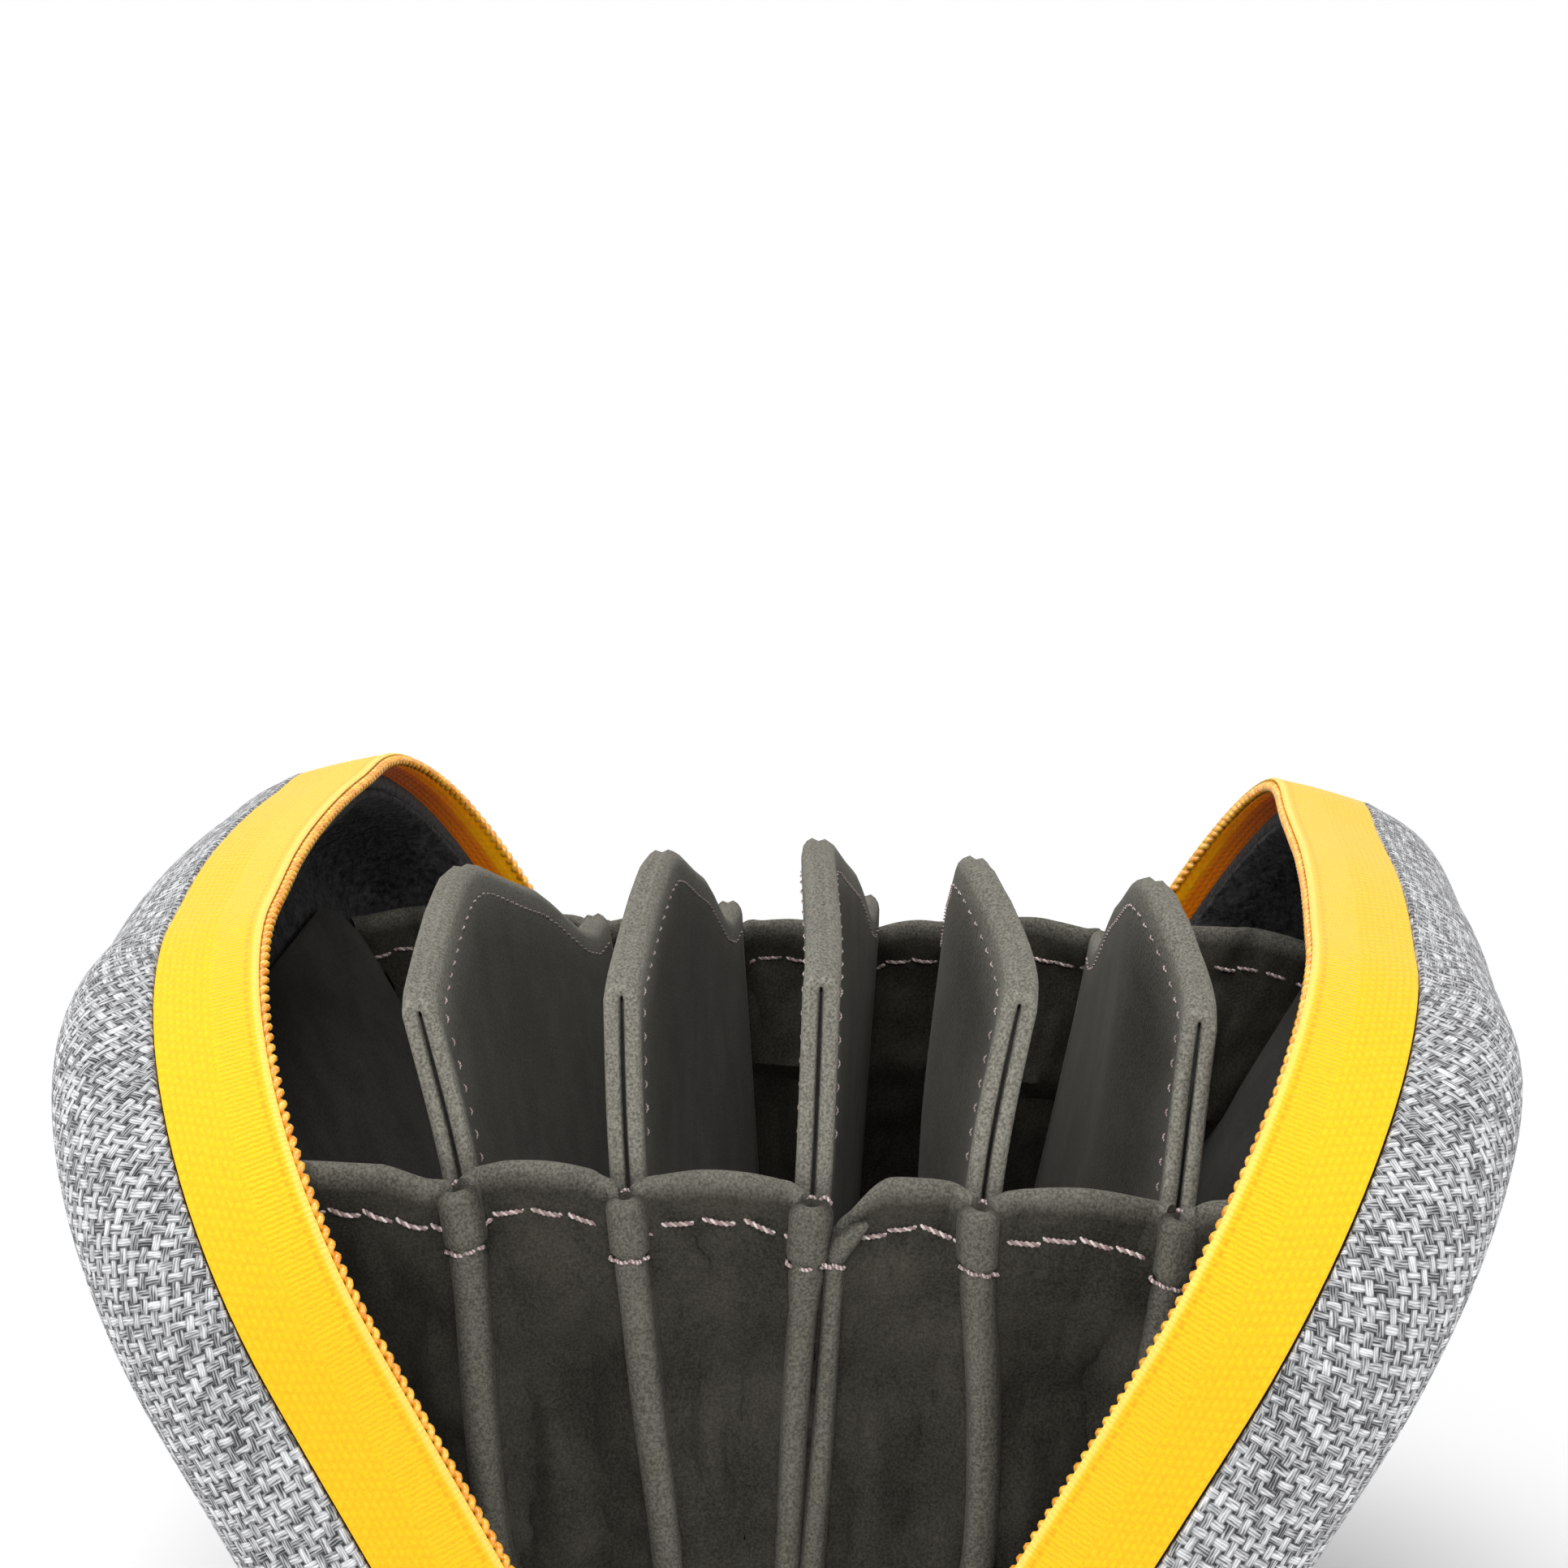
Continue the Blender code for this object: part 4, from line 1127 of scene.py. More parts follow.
def settle_on_leaf(piece, leaf, slot, *nodes):
    """The piece rides on its divider, and gets a mesh of its own where the divider is bowed."""
    settle(piece, BODIES[leaf], slot, *nodes)
    if leaf in LEAF_KEEP:
        flatten(piece)
    return piece


print("dividers that flatten:", *LEAF_KEEP)


# %% [markdown]
# ## End panels
#
# The insert is sewn to each half through a flat suede panel. It is a plate with rounded corners, and
# its edge is rounded too, because the suede is turned over a stiffener.


# %% Make the end panels
def arc(centre, radius, start, stop, steps):
    turns = np.linspace(start, stop, steps + 1)
    return [(centre[0] + radius * cos(t), centre[1] + radius * sin(t)) for t in turns]


def panel_outline(inset, steps=8):
    """The panel's outline, set in, as (y, z) points."""
    foot_y, top_y = INSERT_WIDTH / 2 - FOOT_RADIUS, INSERT_WIDTH / 2 - PANEL_TOP_RADIUS
    foot_z, top_z = FLOOR_HEIGHT + FOOT_RADIUS, PANEL_HEIGHT - PANEL_TOP_RADIUS
    foot, top = FOOT_RADIUS - inset, PANEL_TOP_RADIUS - inset
    return [
        *arc((foot_y, foot_z), foot, -pi / 2, 0, steps),
        *arc((top_y, top_z), top, 0, pi / 2, steps),
        *arc((-top_y, top_z), top, pi / 2, pi, steps),
        *arc((-foot_y, foot_z), foot, pi, 3 * pi / 2, steps),
    ]


def add_panel(prefix, side):
    half = PANEL_THICKNESS / 2
    loops = []
    for turn in np.linspace(0, pi, 7):
        outline = panel_outline(half * (1 - sin(turn)))
        x = side * (PANEL_FACE + half - half * cos(turn))
        loops.append(lean_over([(x, y, z) for y, z in outline], side * HALF_LEAN))
    piece = add_loft(prefix + "_panel", loops, panel_suede)
    return settle(piece, prefix + "_half", "suede", prefix + "_end_panel")


for prefix, side in SIDES:
    add_panel(prefix, side)
print("end panels:", INSERT_WIDTH / MM, "x", round((PANEL_HEIGHT - FLOOR_HEIGHT) / MM), "mm")

# %% [markdown]
# ## Dividers
#
# A divider is one piece of suede folded over at the top, with a stiffening board inside. Seen from
# the front it is two soft lips with a dark slot between them. Each is lofted in levels: a loop goes
# round both faces of the sheet at one place along it, from the foot of one layer, over the fold, to
# the foot of the other. The lips are thicker than the layers and nearly close the slot.

# %% Outline of a divider
TOP_EDGE = np.array(
    [
        (-0.5, 0.93),
        (-0.492, 0.942),
        (-0.475, 0.953),
        (-0.42, 0.967),
        (-0.375, 0.978),
        (-0.325, 0.99),
        (-0.255, 1),
        (-0.2, 0.995),
        (-0.15, 0.98),
        (-0.08, 0.954),
        (0, 0.924),
        (0.1, 0.889),
        (0.18, 0.853),
        (0.25, 0.818),
        (0.32, 0.784),
        (0.4, 0.758),
        (0.5, 0.75),
    ]
)
TOP_LIFT = {1: 1.4 * MM, 2: 1.3 * MM, 3: 0.6 * MM, 4: 0, 5: 2.2 * MM}
DIVIDER_THICKNESS = 3.4 * MM
LAYER = 1.1 * MM
LIP_RADIUS = 0.8 * MM
LIP_MIDDLE = 0.92 * MM
LAYER_MIDDLE = (DIVIDER_THICKNESS - LAYER) / 2
ROOT_HEIGHT = 1.3 * MM


def top_of(y, leaf):
    """Height of the divider's top edge at y."""
    height = up_to(leaf, LEAVES[leaf][2]) + TOP_LIFT[leaf]
    return np.interp(y / INSERT_WIDTH, TOP_EDGE[:, 0], TOP_EDGE[:, 1]) * height


def foot_of(y, leaf):
    """Height of the divider's foot at y. The middle divider's root reaches down to the hinge."""
    if leaf == 3 and abs(y) < HINGE_WIDTH / 2 - 0.5 * MM:
        return ROOT_HEIGHT
    beyond = max(0.0, abs(y) - (INSERT_WIDTH / 2 - FOOT_RADIUS))
    return FLOOR_HEIGHT + FOOT_RADIUS - sqrt(max(0.0, FOOT_RADIUS**2 - beyond**2))


print("the middle divider stands", round(top_of(0, 3) / MM, 1), "mm tall")


# %% Loft a divider's sleeve
FOLD_STEPS = 8
LEVELS = 26
SEAM_DEPTH = 0.4 * MM


def divider_columns():
    """Places across a divider, closer together at the edges."""
    edge = INSERT_WIDTH / 2 - LIP_RADIUS
    inner = np.linspace(-(edge - 9 * MM), edge - 9 * MM, 33)
    outer = edge - np.array([0, 0.35, 1.2, 2.4, 4, 6]) * MM
    return np.concatenate((-outer, inner, outer[::-1]))


def sheet_station(k, y, leaf):
    """Middle of the folded sheet at station k: (across, up, direction across the sheet)."""
    foot, top = foot_of(y, leaf), top_of(y, leaf) - LAYER_MIDDLE - LAYER / 2
    if k < LEVELS:
        return -1, foot + (top - foot) * k / LEVELS, (-1.0, 0.0)
    if k > LEVELS + FOLD_STEPS:
        back = 2 * LEVELS + FOLD_STEPS - k
        return 1, foot + (top - foot) * back / LEVELS, (1.0, 0.0)
    turn = pi * (k - LEVELS) / FOLD_STEPS
    return -cos(turn), top + LAYER_MIDDLE * sin(turn), (-cos(turn), sin(turn))


def sleeve_loop(k, columns, leaf):
    """One closed loop round the sheet: outer face from front to back, then inner face to the front."""
    outer, inner = [], []
    groove = SEAM_DEPTH * (k == LEVELS + FOLD_STEPS // 2)
    for y in columns:
        share, up, (nx, nz) = sheet_station(k, y, leaf)
        edge = abs(y) > INSERT_WIDTH / 2 - LIP_RADIUS - 0.1 * MM
        half = LIP_RADIUS if edge else LAYER / 2
        middle = share * (LIP_MIDDLE if edge else LAYER_MIDDLE)
        outer.append((middle + nx * half, y, up + nz * half - groove))
        inner.append((middle - nx * half, y, up - nz * half))
    loop = list(outer)
    for end, first, last in ((1, outer[-1], inner[-1]), (-1, inner[0], outer[0])):
        for turn in (pi / 4, pi / 2, 3 * pi / 4):
            mix = (1 - cos(turn)) / 2
            x, _, z = (a + (b - a) * mix for a, b in zip(first, last))
            loop.append((x, first[1] + end * LIP_RADIUS * sin(turn), z))
        if end == 1:
            loop += reversed(inner)
    return on_leaf(leaf, loop)


def sleeve_wear_and_highlight(columns):
    """How much the suede is lightened at each point of the loops, as rubbed suede and painted highlight: on
    the lips and along the fold.
    """
    lips = 1 - smooth_steps((INSERT_WIDTH / 2 - np.abs(columns)) / (2.2 * MM))
    loop = np.concatenate((lips, [1, 1, 1], np.zeros(len(columns)), [1, 1, 1]))
    middle = LEVELS + FOLD_STEPS / 2
    fold = 1 - smooth_steps((abs(np.arange(2 * LEVELS + FOLD_STEPS + 1) - middle) - 3) / 3)
    return np.maximum(0.75 * loop[None, :], 0.6 * fold[:, None])


def add_sleeve(leaf):
    columns = divider_columns()
    stations = range(2 * LEVELS + FOLD_STEPS + 1)
    loops = [sleeve_loop(k, columns, leaf) for k in stations]
    piece = add_loft(f"divider_{leaf}_sleeve", loops, suede, wear_and_highlight=sleeve_wear_and_highlight(columns))
    settle_on_leaf(piece, leaf, "suede", f"divider_{leaf}")
    return piece


for leaf in BODIES:
    sleeve = add_sleeve(leaf)
    print(sleeve.name, len(sleeve.data.vertices), "points")


# %% [markdown]
# ## Thick sheets
#
# Boards, gussets and floors are grids of points with a thickness. Each column of the grid becomes a
# closed loop: up the front face, round the top edge, and down the back face.


# %% Turn a grid into a thick sheet
def sheet_normals(grid):
    """Unit normals of a grid of points."""
    normal = np.cross(np.gradient(grid, axis=1), np.gradient(grid, axis=0))
    return normal / np.linalg.norm(normal, axis=2, keepdims=True)


def thick_loops(grid, half):
    """Loops of a sheet whose middle is the grid, with a half thickness at each point."""
    normals = sheet_normals(grid)
    front, back = grid + normals * half[:, :, None], grid - normals * half[:, :, None]
    loops = []
    for c in range(grid.shape[1]):
        up = grid[-1, c] - grid[-2, c]
        up /= np.linalg.norm(up)
        rolled = [
            grid[-1, c] + half[-1, c] * (cos(t) * normals[-1, c] + sin(t) * up)
            for t in (pi / 6, pi / 3, pi / 2, 2 * pi / 3, 5 * pi / 6)
        ]
        loops.append([*front[:, c], *rolled, *back[::-1, c]])
    return loops


print("ready for boards, gussets and floors")

# %% Make the boards
BOARD_HALF = 0.3 * MM
BOARD_MARGIN = 1 * MM
BOARD_DROP = 2.4 * MM


def add_board(leaf):
    edge = INSERT_WIDTH / 2 - BOARD_MARGIN
    columns = np.linspace(-edge, edge, 41)
    grid = []
    for share in np.linspace(0, 1, 25):
        row = []
        for y in columns:
            foot = foot_of(y, leaf) + BOARD_MARGIN
            row.append((0, y, foot + (top_of(y, leaf) - BOARD_DROP - foot) * share))
        grid.append(on_leaf(leaf, row))
    grid = np.array(grid)
    loops = thick_loops(grid, np.full(grid.shape[:2], BOARD_HALF))
    piece = add_loft(f"divider_{leaf}_stiffener", loops, board)
    return settle_on_leaf(piece, leaf, "board", f"divider_board_{leaf}")


for leaf in BODIES:
    add_board(leaf)
print("boards:", len(BODIES))

# %% [markdown]
# ## Ribs
#
# At the front and the back edge of each divider the gussets' suede is gathered into a round rib. Its
# top is a cap about 6 mm tall: the suede is rolled up, with a dimple in the middle, and held by a
# bar of stitches. The rib is a loft of round loops whose radius changes up the rib, with a few soft
# creases.

# %% Make the ribs
RIB_RADIUS = 2 * MM
RIB_Y = INSERT_WIDTH / 2 + GAP + RIB_RADIUS
RIB_ROUND = 1.85 * MM
CAP_LENGTH = 5.6 * MM
BAR_DROP = 5.9 * MM
TOP_LEVEL = {-1: GUSSET_LEVEL, 1: GUSSET_LEVEL - 3.5 * MM}
DOME = 1.2 * MM
RIB_TURNS = np.arange(24) * 2 * pi / 24


def rib_radius(left, leaf):
    """Radius of a rib at a distance down from its top. The middle rib shares its place with a strand."""
    cap = 0.25 * MM * smooth_steps((CAP_LENGTH - left) / (0.5 * MM))
    bar = 0.3 * MM * np.exp(-(((left - BAR_DROP) / (0.45 * MM)) ** 2))
    slim = (0.45 if leaf == 3 else 0.1) * MM * smooth_steps((left - CAP_LENGTH) / (5 * MM))
    return RIB_ROUND + cap - bar - slim - 0.15 * MM * smooth_steps(left / (50 * MM))


def rib_loops(leaf, end):
    low, high = FLOOR_HEIGHT + FOOT_RADIUS, up_to(leaf, TOP_LEVEL[end])
    drops = [*np.linspace(high - low, 8 * MM, 16), *np.linspace(7.4 * MM, DOME, 18)]
    rings = [(drop, rib_radius(drop, leaf)) for drop in drops]
    last = rings[-1][1]
    over = np.linspace(0.25, pi - 0.7, 8)
    rings += [(DOME * (1 - sin(t)), last * (0.55 + 0.45 * cos(t))) for t in over]
    rings += [(DOME * 0.8, last * 0.16), (DOME * 1.2, last * 0.08)]
    rng = np.random.default_rng(leaf * 2 + (end > 0))
    crease_at, phase = rng.uniform(0, 2 * pi, 3), rng.uniform(0, 2 * pi)
    loops = []
    for drop, radius in rings:
        away = [np.angle(np.exp(1j * (RIB_TURNS - at))) for at in crease_at]
        crease = sum(np.exp(-((angle / 0.22) ** 2)) for angle in away)
        r = radius * (1 + 0.03 * np.sin(3 * RIB_TURNS + phase + drop / MM * 0.12)) - 0.13 * MM * crease
        x = 0.15 * MM * sin(drop / MM * 0.13 + phase) + r * np.cos(RIB_TURNS)
        y = end * RIB_Y + r * np.sin(RIB_TURNS)
        loops.append(on_leaf(leaf, np.column_stack((x, y, np.full(len(RIB_TURNS), high - drop)))))
    return loops


def roll_wear_and_highlight(out):
    """How much a roll is lightened where it faces out by so much, from -1 to 1: rubbed suede and a painted
    highlight.
    """
    return 0.34 * smooth_steps((out - 0.15) / 0.85)


def rib_wear_and_highlight(rows, end):
    """How much a rib is lightened at each point of its loops, as rubbed suede and a painted highlight: on the
    side that faces out.
    """
    return np.tile(roll_wear_and_highlight(end * np.sin(RIB_TURNS)), (rows, 1))


for leaf in BODIES:
    for prefix, end in ENDS:
        loops = rib_loops(leaf, end)
        roll = add_loft(f"{prefix}_rib_{leaf}_roll", loops, suede, wear_and_highlight=rib_wear_and_highlight(len(loops), end))
        settle_on_leaf(roll, leaf, "suede", f"{prefix}_rib_{leaf}")
print("ribs:", 2 * len(BODIES))

# %% [markdown]
# The middle rib is doubled: the edge of the gusset on its right is rolled into a strand of its own. It
# comes down from the hem in a curve, passes the rib's cap and runs down beside the rib.


# %% Roll the gusset's edge beside the middle rib
STRAND = np.array(
    [
        (1.2, 5.4, 0.9, 0.3),
        (1.8, 4.7, 0.9, 0.7),
        (2.6, 3.9, 0.8, 1.0),
        (3.6, 3.2, 0.7, 1.1),
        (4.6, 2.8, 0.5, 1.0),
        (5.4, 2.65, 0.4, 0.85),
        (6.4, 2.6, 0.3, 0.95),
        (12, 2.6, 0.2, 0.9),
        (24, 2.6, 0.1, 1.05),
        (36, 2.5, 0, 1.2),
        (48, 2.4, -0.2, 1.2),
    ]
)


def strand_path(count=44):
    """Drop from the rib's top, place across and out from the rib, and radius, closer together on top."""
    along = np.linspace(0, 1, count) ** 1.8 * (len(STRAND) - 1)
    stations = np.arange(len(STRAND), dtype=float)
    return np.column_stack([smooth_through(along, stations, STRAND[:, k]) for k in range(4)]) * MM


def add_strand(leaf, end, name):
    high = up_to(leaf, TOP_LEVEL[end])
    path = strand_path()
    heading = np.gradient(path[:, :2], axis=0)
    heading /= np.linalg.norm(heading, axis=1, keepdims=True)
    turns = np.arange(14) * 2 * pi / 14
    loops = []
    for (drop, across, out, radius), (fall, sideways) in zip(path, heading):
        # the ring stands square to the path, between the direction out and the one beside the path
        x = across + radius * np.cos(turns) * fall
        z = high - drop + radius * np.cos(turns) * sideways
        y = end * (RIB_Y + out + radius * np.sin(turns))
        loops.append(on_leaf(leaf, np.column_stack((x, y, z))))
    wear_and_highlight = np.tile(roll_wear_and_highlight(np.sin(turns)), (len(loops), 1))
    return settle_on_leaf(add_loft(name, loops, suede, wear_and_highlight=wear_and_highlight), leaf, "suede")


add_strand(3, -1, "front_edge_roll")
print("the middle rib has its second strand")

# %% [markdown]
# ## Gussets
#
# A gusset is the soft wall of a pocket, from rib to rib. It is drawn in between the ribs, hangs in a
# few upright folds and has a padded hem along its arched top, which bulges out. Cloth simulation
# finds how it hangs: all twelve gussets start as smoothly curved sheets, are held along their sides
# and foot, and get a little spare length, which they take up in twenty frames. How far a point may
# move is capped. The hem beside the middle rib falls to one side like a lapel, towards the strand.

# %% Start shapes of the gussets
GUSSET_THICKNESS = 1.4 * MM
GUSSET_EDGE = 0.7 * MM
PANEL_OVERLAP = -1 * MM
GUSSET_STANDOFF = 1.6 * MM
GUSSET_ARCH = {-1: 2.2 * MM, 1: 0.7 * MM}
HEM_BULGE = 0.13
WALL_BULGE = {1: -0.24, 2: -0.2, 3: -0.2, 4: -0.16, 5: -0.2, 6: -0.24}
ROWS, COLUMNS = 34, 32
LAPEL = (4, -1)
LAPEL_DROP = 4.6 * MM
LAPEL_REACH = 0.46
POCKETS = {
    1: ("divider_1", "left_half_hinge"),
    2: ("divider_2", "divider_1_hinge"),
    3: ("spine", "divider_2_hinge"),
    4: ("spine", "divider_4_hinge"),
    5: ("divider_4", "divider_5_hinge"),
    6: ("divider_5", "right_half_hinge"),
}


def fold_depths(shares, pocket, end):
    """How far the wall's upright folds move it out at each place across, as a share of its width."""
    rng = np.random.default_rng(7 * pocket + (end > 0))
    depths = np.zeros(len(shares))
    for middle, depth in ((rng.uniform(0.25, 0.45), 0.08), (rng.uniform(0.62, 0.8), -0.08)):
        depths += depth * rng.uniform(0.7, 1.2) * np.exp(-(((shares - middle) / 0.13) ** 2))
    return depths * np.sin(pi * shares)


def pocket_sides(pocket, at_divider, at_panel, y, heights):
    """Points on a pocket's two leaves, a little off their middles. heights holds one for each."""
    sides = []
    for leaf, towards, up in zip((pocket - 1, pocket), (1, -1), heights):
        edge = towards * (at_divider if leaf in BODIES else at_panel)
        sides.append(on_leaf(leaf, [(edge, y, up)])[0])
    return sides


def gusset_grid(pocket, end):
    """Middle of a gusset's sheet as rows of points, from foot to hem."""
    low = FLOOR_HEIGHT + FOOT_RADIUS + GAP
    y = end * (INSERT_WIDTH / 2 + GUSSET_STANDOFF)
    shares = np.linspace(0, 1, COLUMNS + 1)
    swell = np.sin(pi * shares)
    grid = []
    for up in np.linspace(0, 1, ROWS + 1):
        heights = [low + (up_to(leaf, TOP_LEVEL[end]) - low) * up for leaf in (pocket - 1, pocket)]
        sides = pocket_sides(pocket, GUSSET_EDGE, PANEL_OVERLAP, y, heights)
        row = sides[0] + (sides[1] - sides[0]) * shares[:, None]
        hem = smooth_steps((up - 0.62) / 0.38)
        bulge = WALL_BULGE[pocket] + (HEM_BULGE - WALL_BULGE[pocket]) * hem
        out = bulge * swell + (1 - hem) * fold_depths(shares, pocket, end)
        row[:, 1] += end * (sides[1][0] - sides[0][0]) * out
        row[:, 2] += GUSSET_ARCH[end] * swell * up**5
        if (pocket, end) == LAPEL:
            row[:, 2] -= LAPEL_DROP * (1 - smooth_steps(shares / LAPEL_REACH)) * up**3
        grid.append(row)
    return np.array(grid)


GUSSETS = [(pocket, end) for pocket in POCKETS for _, end in ENDS]
gusset_grids = {key: gusset_grid(*key) for key in GUSSETS}
print("gussets:", len(gusset_grids), "of", (ROWS + 1) * (COLUMNS + 1), "points")


# %% Let the gussets hang
def hanging_sheet(grids):
    """All grids as one mesh, with the points that are held in a vertex group."""
    points, faces, held = [], [], []
    for grid in grids.values():
        rows, columns = grid.shape[:2]
        number = np.arange(rows * columns).reshape(rows, columns) + len(points)
        points += [tuple(p) for p in grid.reshape(-1, 3)]
        corners = (number[:-1, :-1], number[:-1, 1:], number[1:, 1:], number[1:, :-1])
        faces += np.stack(corners, axis=-1).reshape(-1, 4).tolist()
        held += [*number[0], *number[1:, 0], *number[1:, -1]]
    mesh = bpy.data.meshes.new("hanging")
    mesh.from_pydata(points, [], faces)
    sheet = link_object("hanging", mesh)
    sheet.vertex_groups.new(name="held").add([int(k) for k in held], 1.0, "REPLACE")
    return sheet, np.array(points)


def hang(grids, frames=20, cap=1.6 * MM):
    """Lets all grids settle as cloth. No point moves further than the cap."""
    sheet, start = hanging_sheet(grids)
    cloth = sheet.modifiers.new("Cloth", "CLOTH")
    cloth.settings.vertex_group_mass = "held"
    cloth.settings.quality = 6
    cloth.settings.mass = 0.0006
    cloth.settings.tension_stiffness = 12
    cloth.settings.compression_stiffness = 8
    cloth.settings.shear_stiffness = 3
    cloth.settings.bending_stiffness = 0.4
    cloth.settings.shrink_min = -0.035
    cloth.collision_settings.use_collision = False
    for number in range(1, frames + 1):
        bpy.context.scene.frame_set(number)
    shape = sheet.evaluated_get(bpy.context.evaluated_depsgraph_get()).data
    found = np.empty(len(shape.vertices) * 3)
    shape.vertices.foreach_get("co", found)
    bpy.context.scene.frame_set(1)
    bpy.data.objects.remove(sheet)
    moved = found.reshape(-1, 3) - start
    length = np.linalg.norm(moved, axis=1, keepdims=True)
    moved *= np.minimum(1, cap / np.maximum(length, 1e-9))
    print("the cloth moved up to", round(float(length.max()) / MM, 2), "mm, capped at", cap / MM)
    return dict(zip(grids, (start + moved).reshape(len(grids), ROWS + 1, COLUMNS + 1, 3)))


gusset_grids = hang(gusset_grids)

# %% Give the gussets their wall and hem
HEM_HEIGHT = 3.8 * MM
HEM_SWELL = 0.3 * MM
SEAM_DROP = 4.2 * MM
SEAM_PINCH = 0.32 * MM


def hem_half(grid):
    """Half thickness at each point: a padded hem on top, pinched where it is sewn."""
    drop = grid[-1:, :, 2] - grid[:, :, 2]
    hem = HEM_SWELL * np.clip(1 - ((drop - HEM_HEIGHT / 2) / (HEM_HEIGHT / 2)) ** 2, 0, 1)
    seam = SEAM_PINCH * np.exp(-(((drop - SEAM_DROP) / (0.45 * MM)) ** 2))
    return GUSSET_THICKNESS / 2 + hem - seam


def hem_wear_and_highlight(grid):
    """How much a gusset is lightened at each point of its loops, as rubbed suede and a painted highlight: on
    the roll of its hem.
    """
    drop = (grid[-1:, :, 2] - grid[:, :, 2]).T
    top = 1 - smooth_steps(drop / (1.6 * MM))
    rolled = np.ones((drop.shape[0], 5))
    return 0.4 * np.concatenate((top, rolled, top[:, ::-1]), axis=1)


def declare_sheet(grid, allowance=0.0):
    """Size in mm of a piece as a sheet of cloth: its grid laid flat plus its seam allowance."""
    across, up = np.diff(grid, axis=1), np.diff(grid, axis=0)
    width = float(np.linalg.norm(across, axis=2).sum(axis=1).max()) + 2 * allowance
    length = float(np.linalg.norm(up, axis=2).sum(axis=0).max())
    area = float(np.linalg.norm(np.cross(across[:-1], up[:, :-1]), axis=2).sum())
    return round(width / MM), round(length / MM)


def fold_with_pocket(piece, pocket, *nodes):
    """The piece rides on the pocket's inner leaf and gets a mesh of its own."""
    body, joint = POCKETS[pocket]
    settle(piece, body, "suede", *nodes)
    flatten(piece)
    return piece


for prefix, end in ENDS:
    for pocket in POCKETS:
        grid = gusset_grids[pocket, end]
        loops = thick_loops(grid, hem_half(grid))
        piece = add_loft(f"{prefix}_gusset_{pocket}_cloth", loops, suede, wear_and_highlight=hem_wear_and_highlight(grid))
        fold_with_pocket(piece, pocket, f"{prefix}_gusset_{pocket}")
        print(piece.name, "is cut", declare_sheet(grid), "mm")

# %% [markdown]
# ## Pocket floors
#
# A strip of suede closes each pocket from below. It follows the dividers' round feet and sags a
# little between them. It is lofted from front to back, one closed section after another.

# %% Make the pocket floors
FLOOR_THICKNESS = 1.2 * MM
FLOOR_MARGIN = 0.7 * MM
FLOOR_EDGE = DIVIDER_THICKNESS / 2 - 0.4 * MM
FLOOR_SAG = 0.1
FLOOR_ALLOWANCE = 1.5 * MM


def floor_grid(pocket):
    """Middle of the floor strip: rows from front to back, each from the left leaf to the right."""
    foot_y, foot_z = INSERT_WIDTH / 2 - FOOT_RADIUS, FLOOR_HEIGHT + FOOT_RADIUS
    radius = FOOT_RADIUS - FLOOR_MARGIN
    shares = np.linspace(0, 1, 11)
    rows = []
    for centre_y, start in ((-foot_y, pi), (foot_y, 3 * pi / 2)):
        for angle in np.linspace(start, start + pi / 2, 11):
            y, along = centre_y + radius * cos(angle), foot_z + radius * sin(angle)
            sides = pocket_sides(pocket, FLOOR_EDGE, GAP, y, (along, along))
            row = sides[0] + (sides[1] - sides[0]) * shares[:, None]
            sag = FLOOR_SAG * (sides[1][0] - sides[0][0]) * np.sin(pi * shares)
            row[:, 1] += sag * cos(angle)
            row[:, 2] += sag * sin(angle)
            rows.append(row)
    return np.array(rows)


for pocket in POCKETS:
    grid = floor_grid(pocket)
    offset = sheet_normals(grid) * FLOOR_THICKNESS / 2
    loops = [[*top, *low[::-1]] for top, low in zip(grid + offset, grid - offset)]
    strip = add_loft(f"pocket_floor_{pocket}_cloth", loops, suede)
    fold_with_pocket(strip, pocket, f"pocket_floor_{pocket}")
    print(strip.name, "is cut", declare_sheet(grid, FLOOR_ALLOWANCE), "mm")

# %% [markdown]
# ## Stitches
#
# The hems, the rib caps and the dividers' edges are sewn with a twisted two-ply thread, paler and
# pinker than the suede. One tree makes every row of stitches: it walks along a guide line, sets a
# stitch at each pitch, turns it to the line and away from the cloth, and slants it a little at
# random from a fixed seed. A stitch is two thin strands wound round each other, arched over the
# cloth, with both ends sunk into it.

# %% Node tree that sews a row
STITCH_TWISTS = 3.2


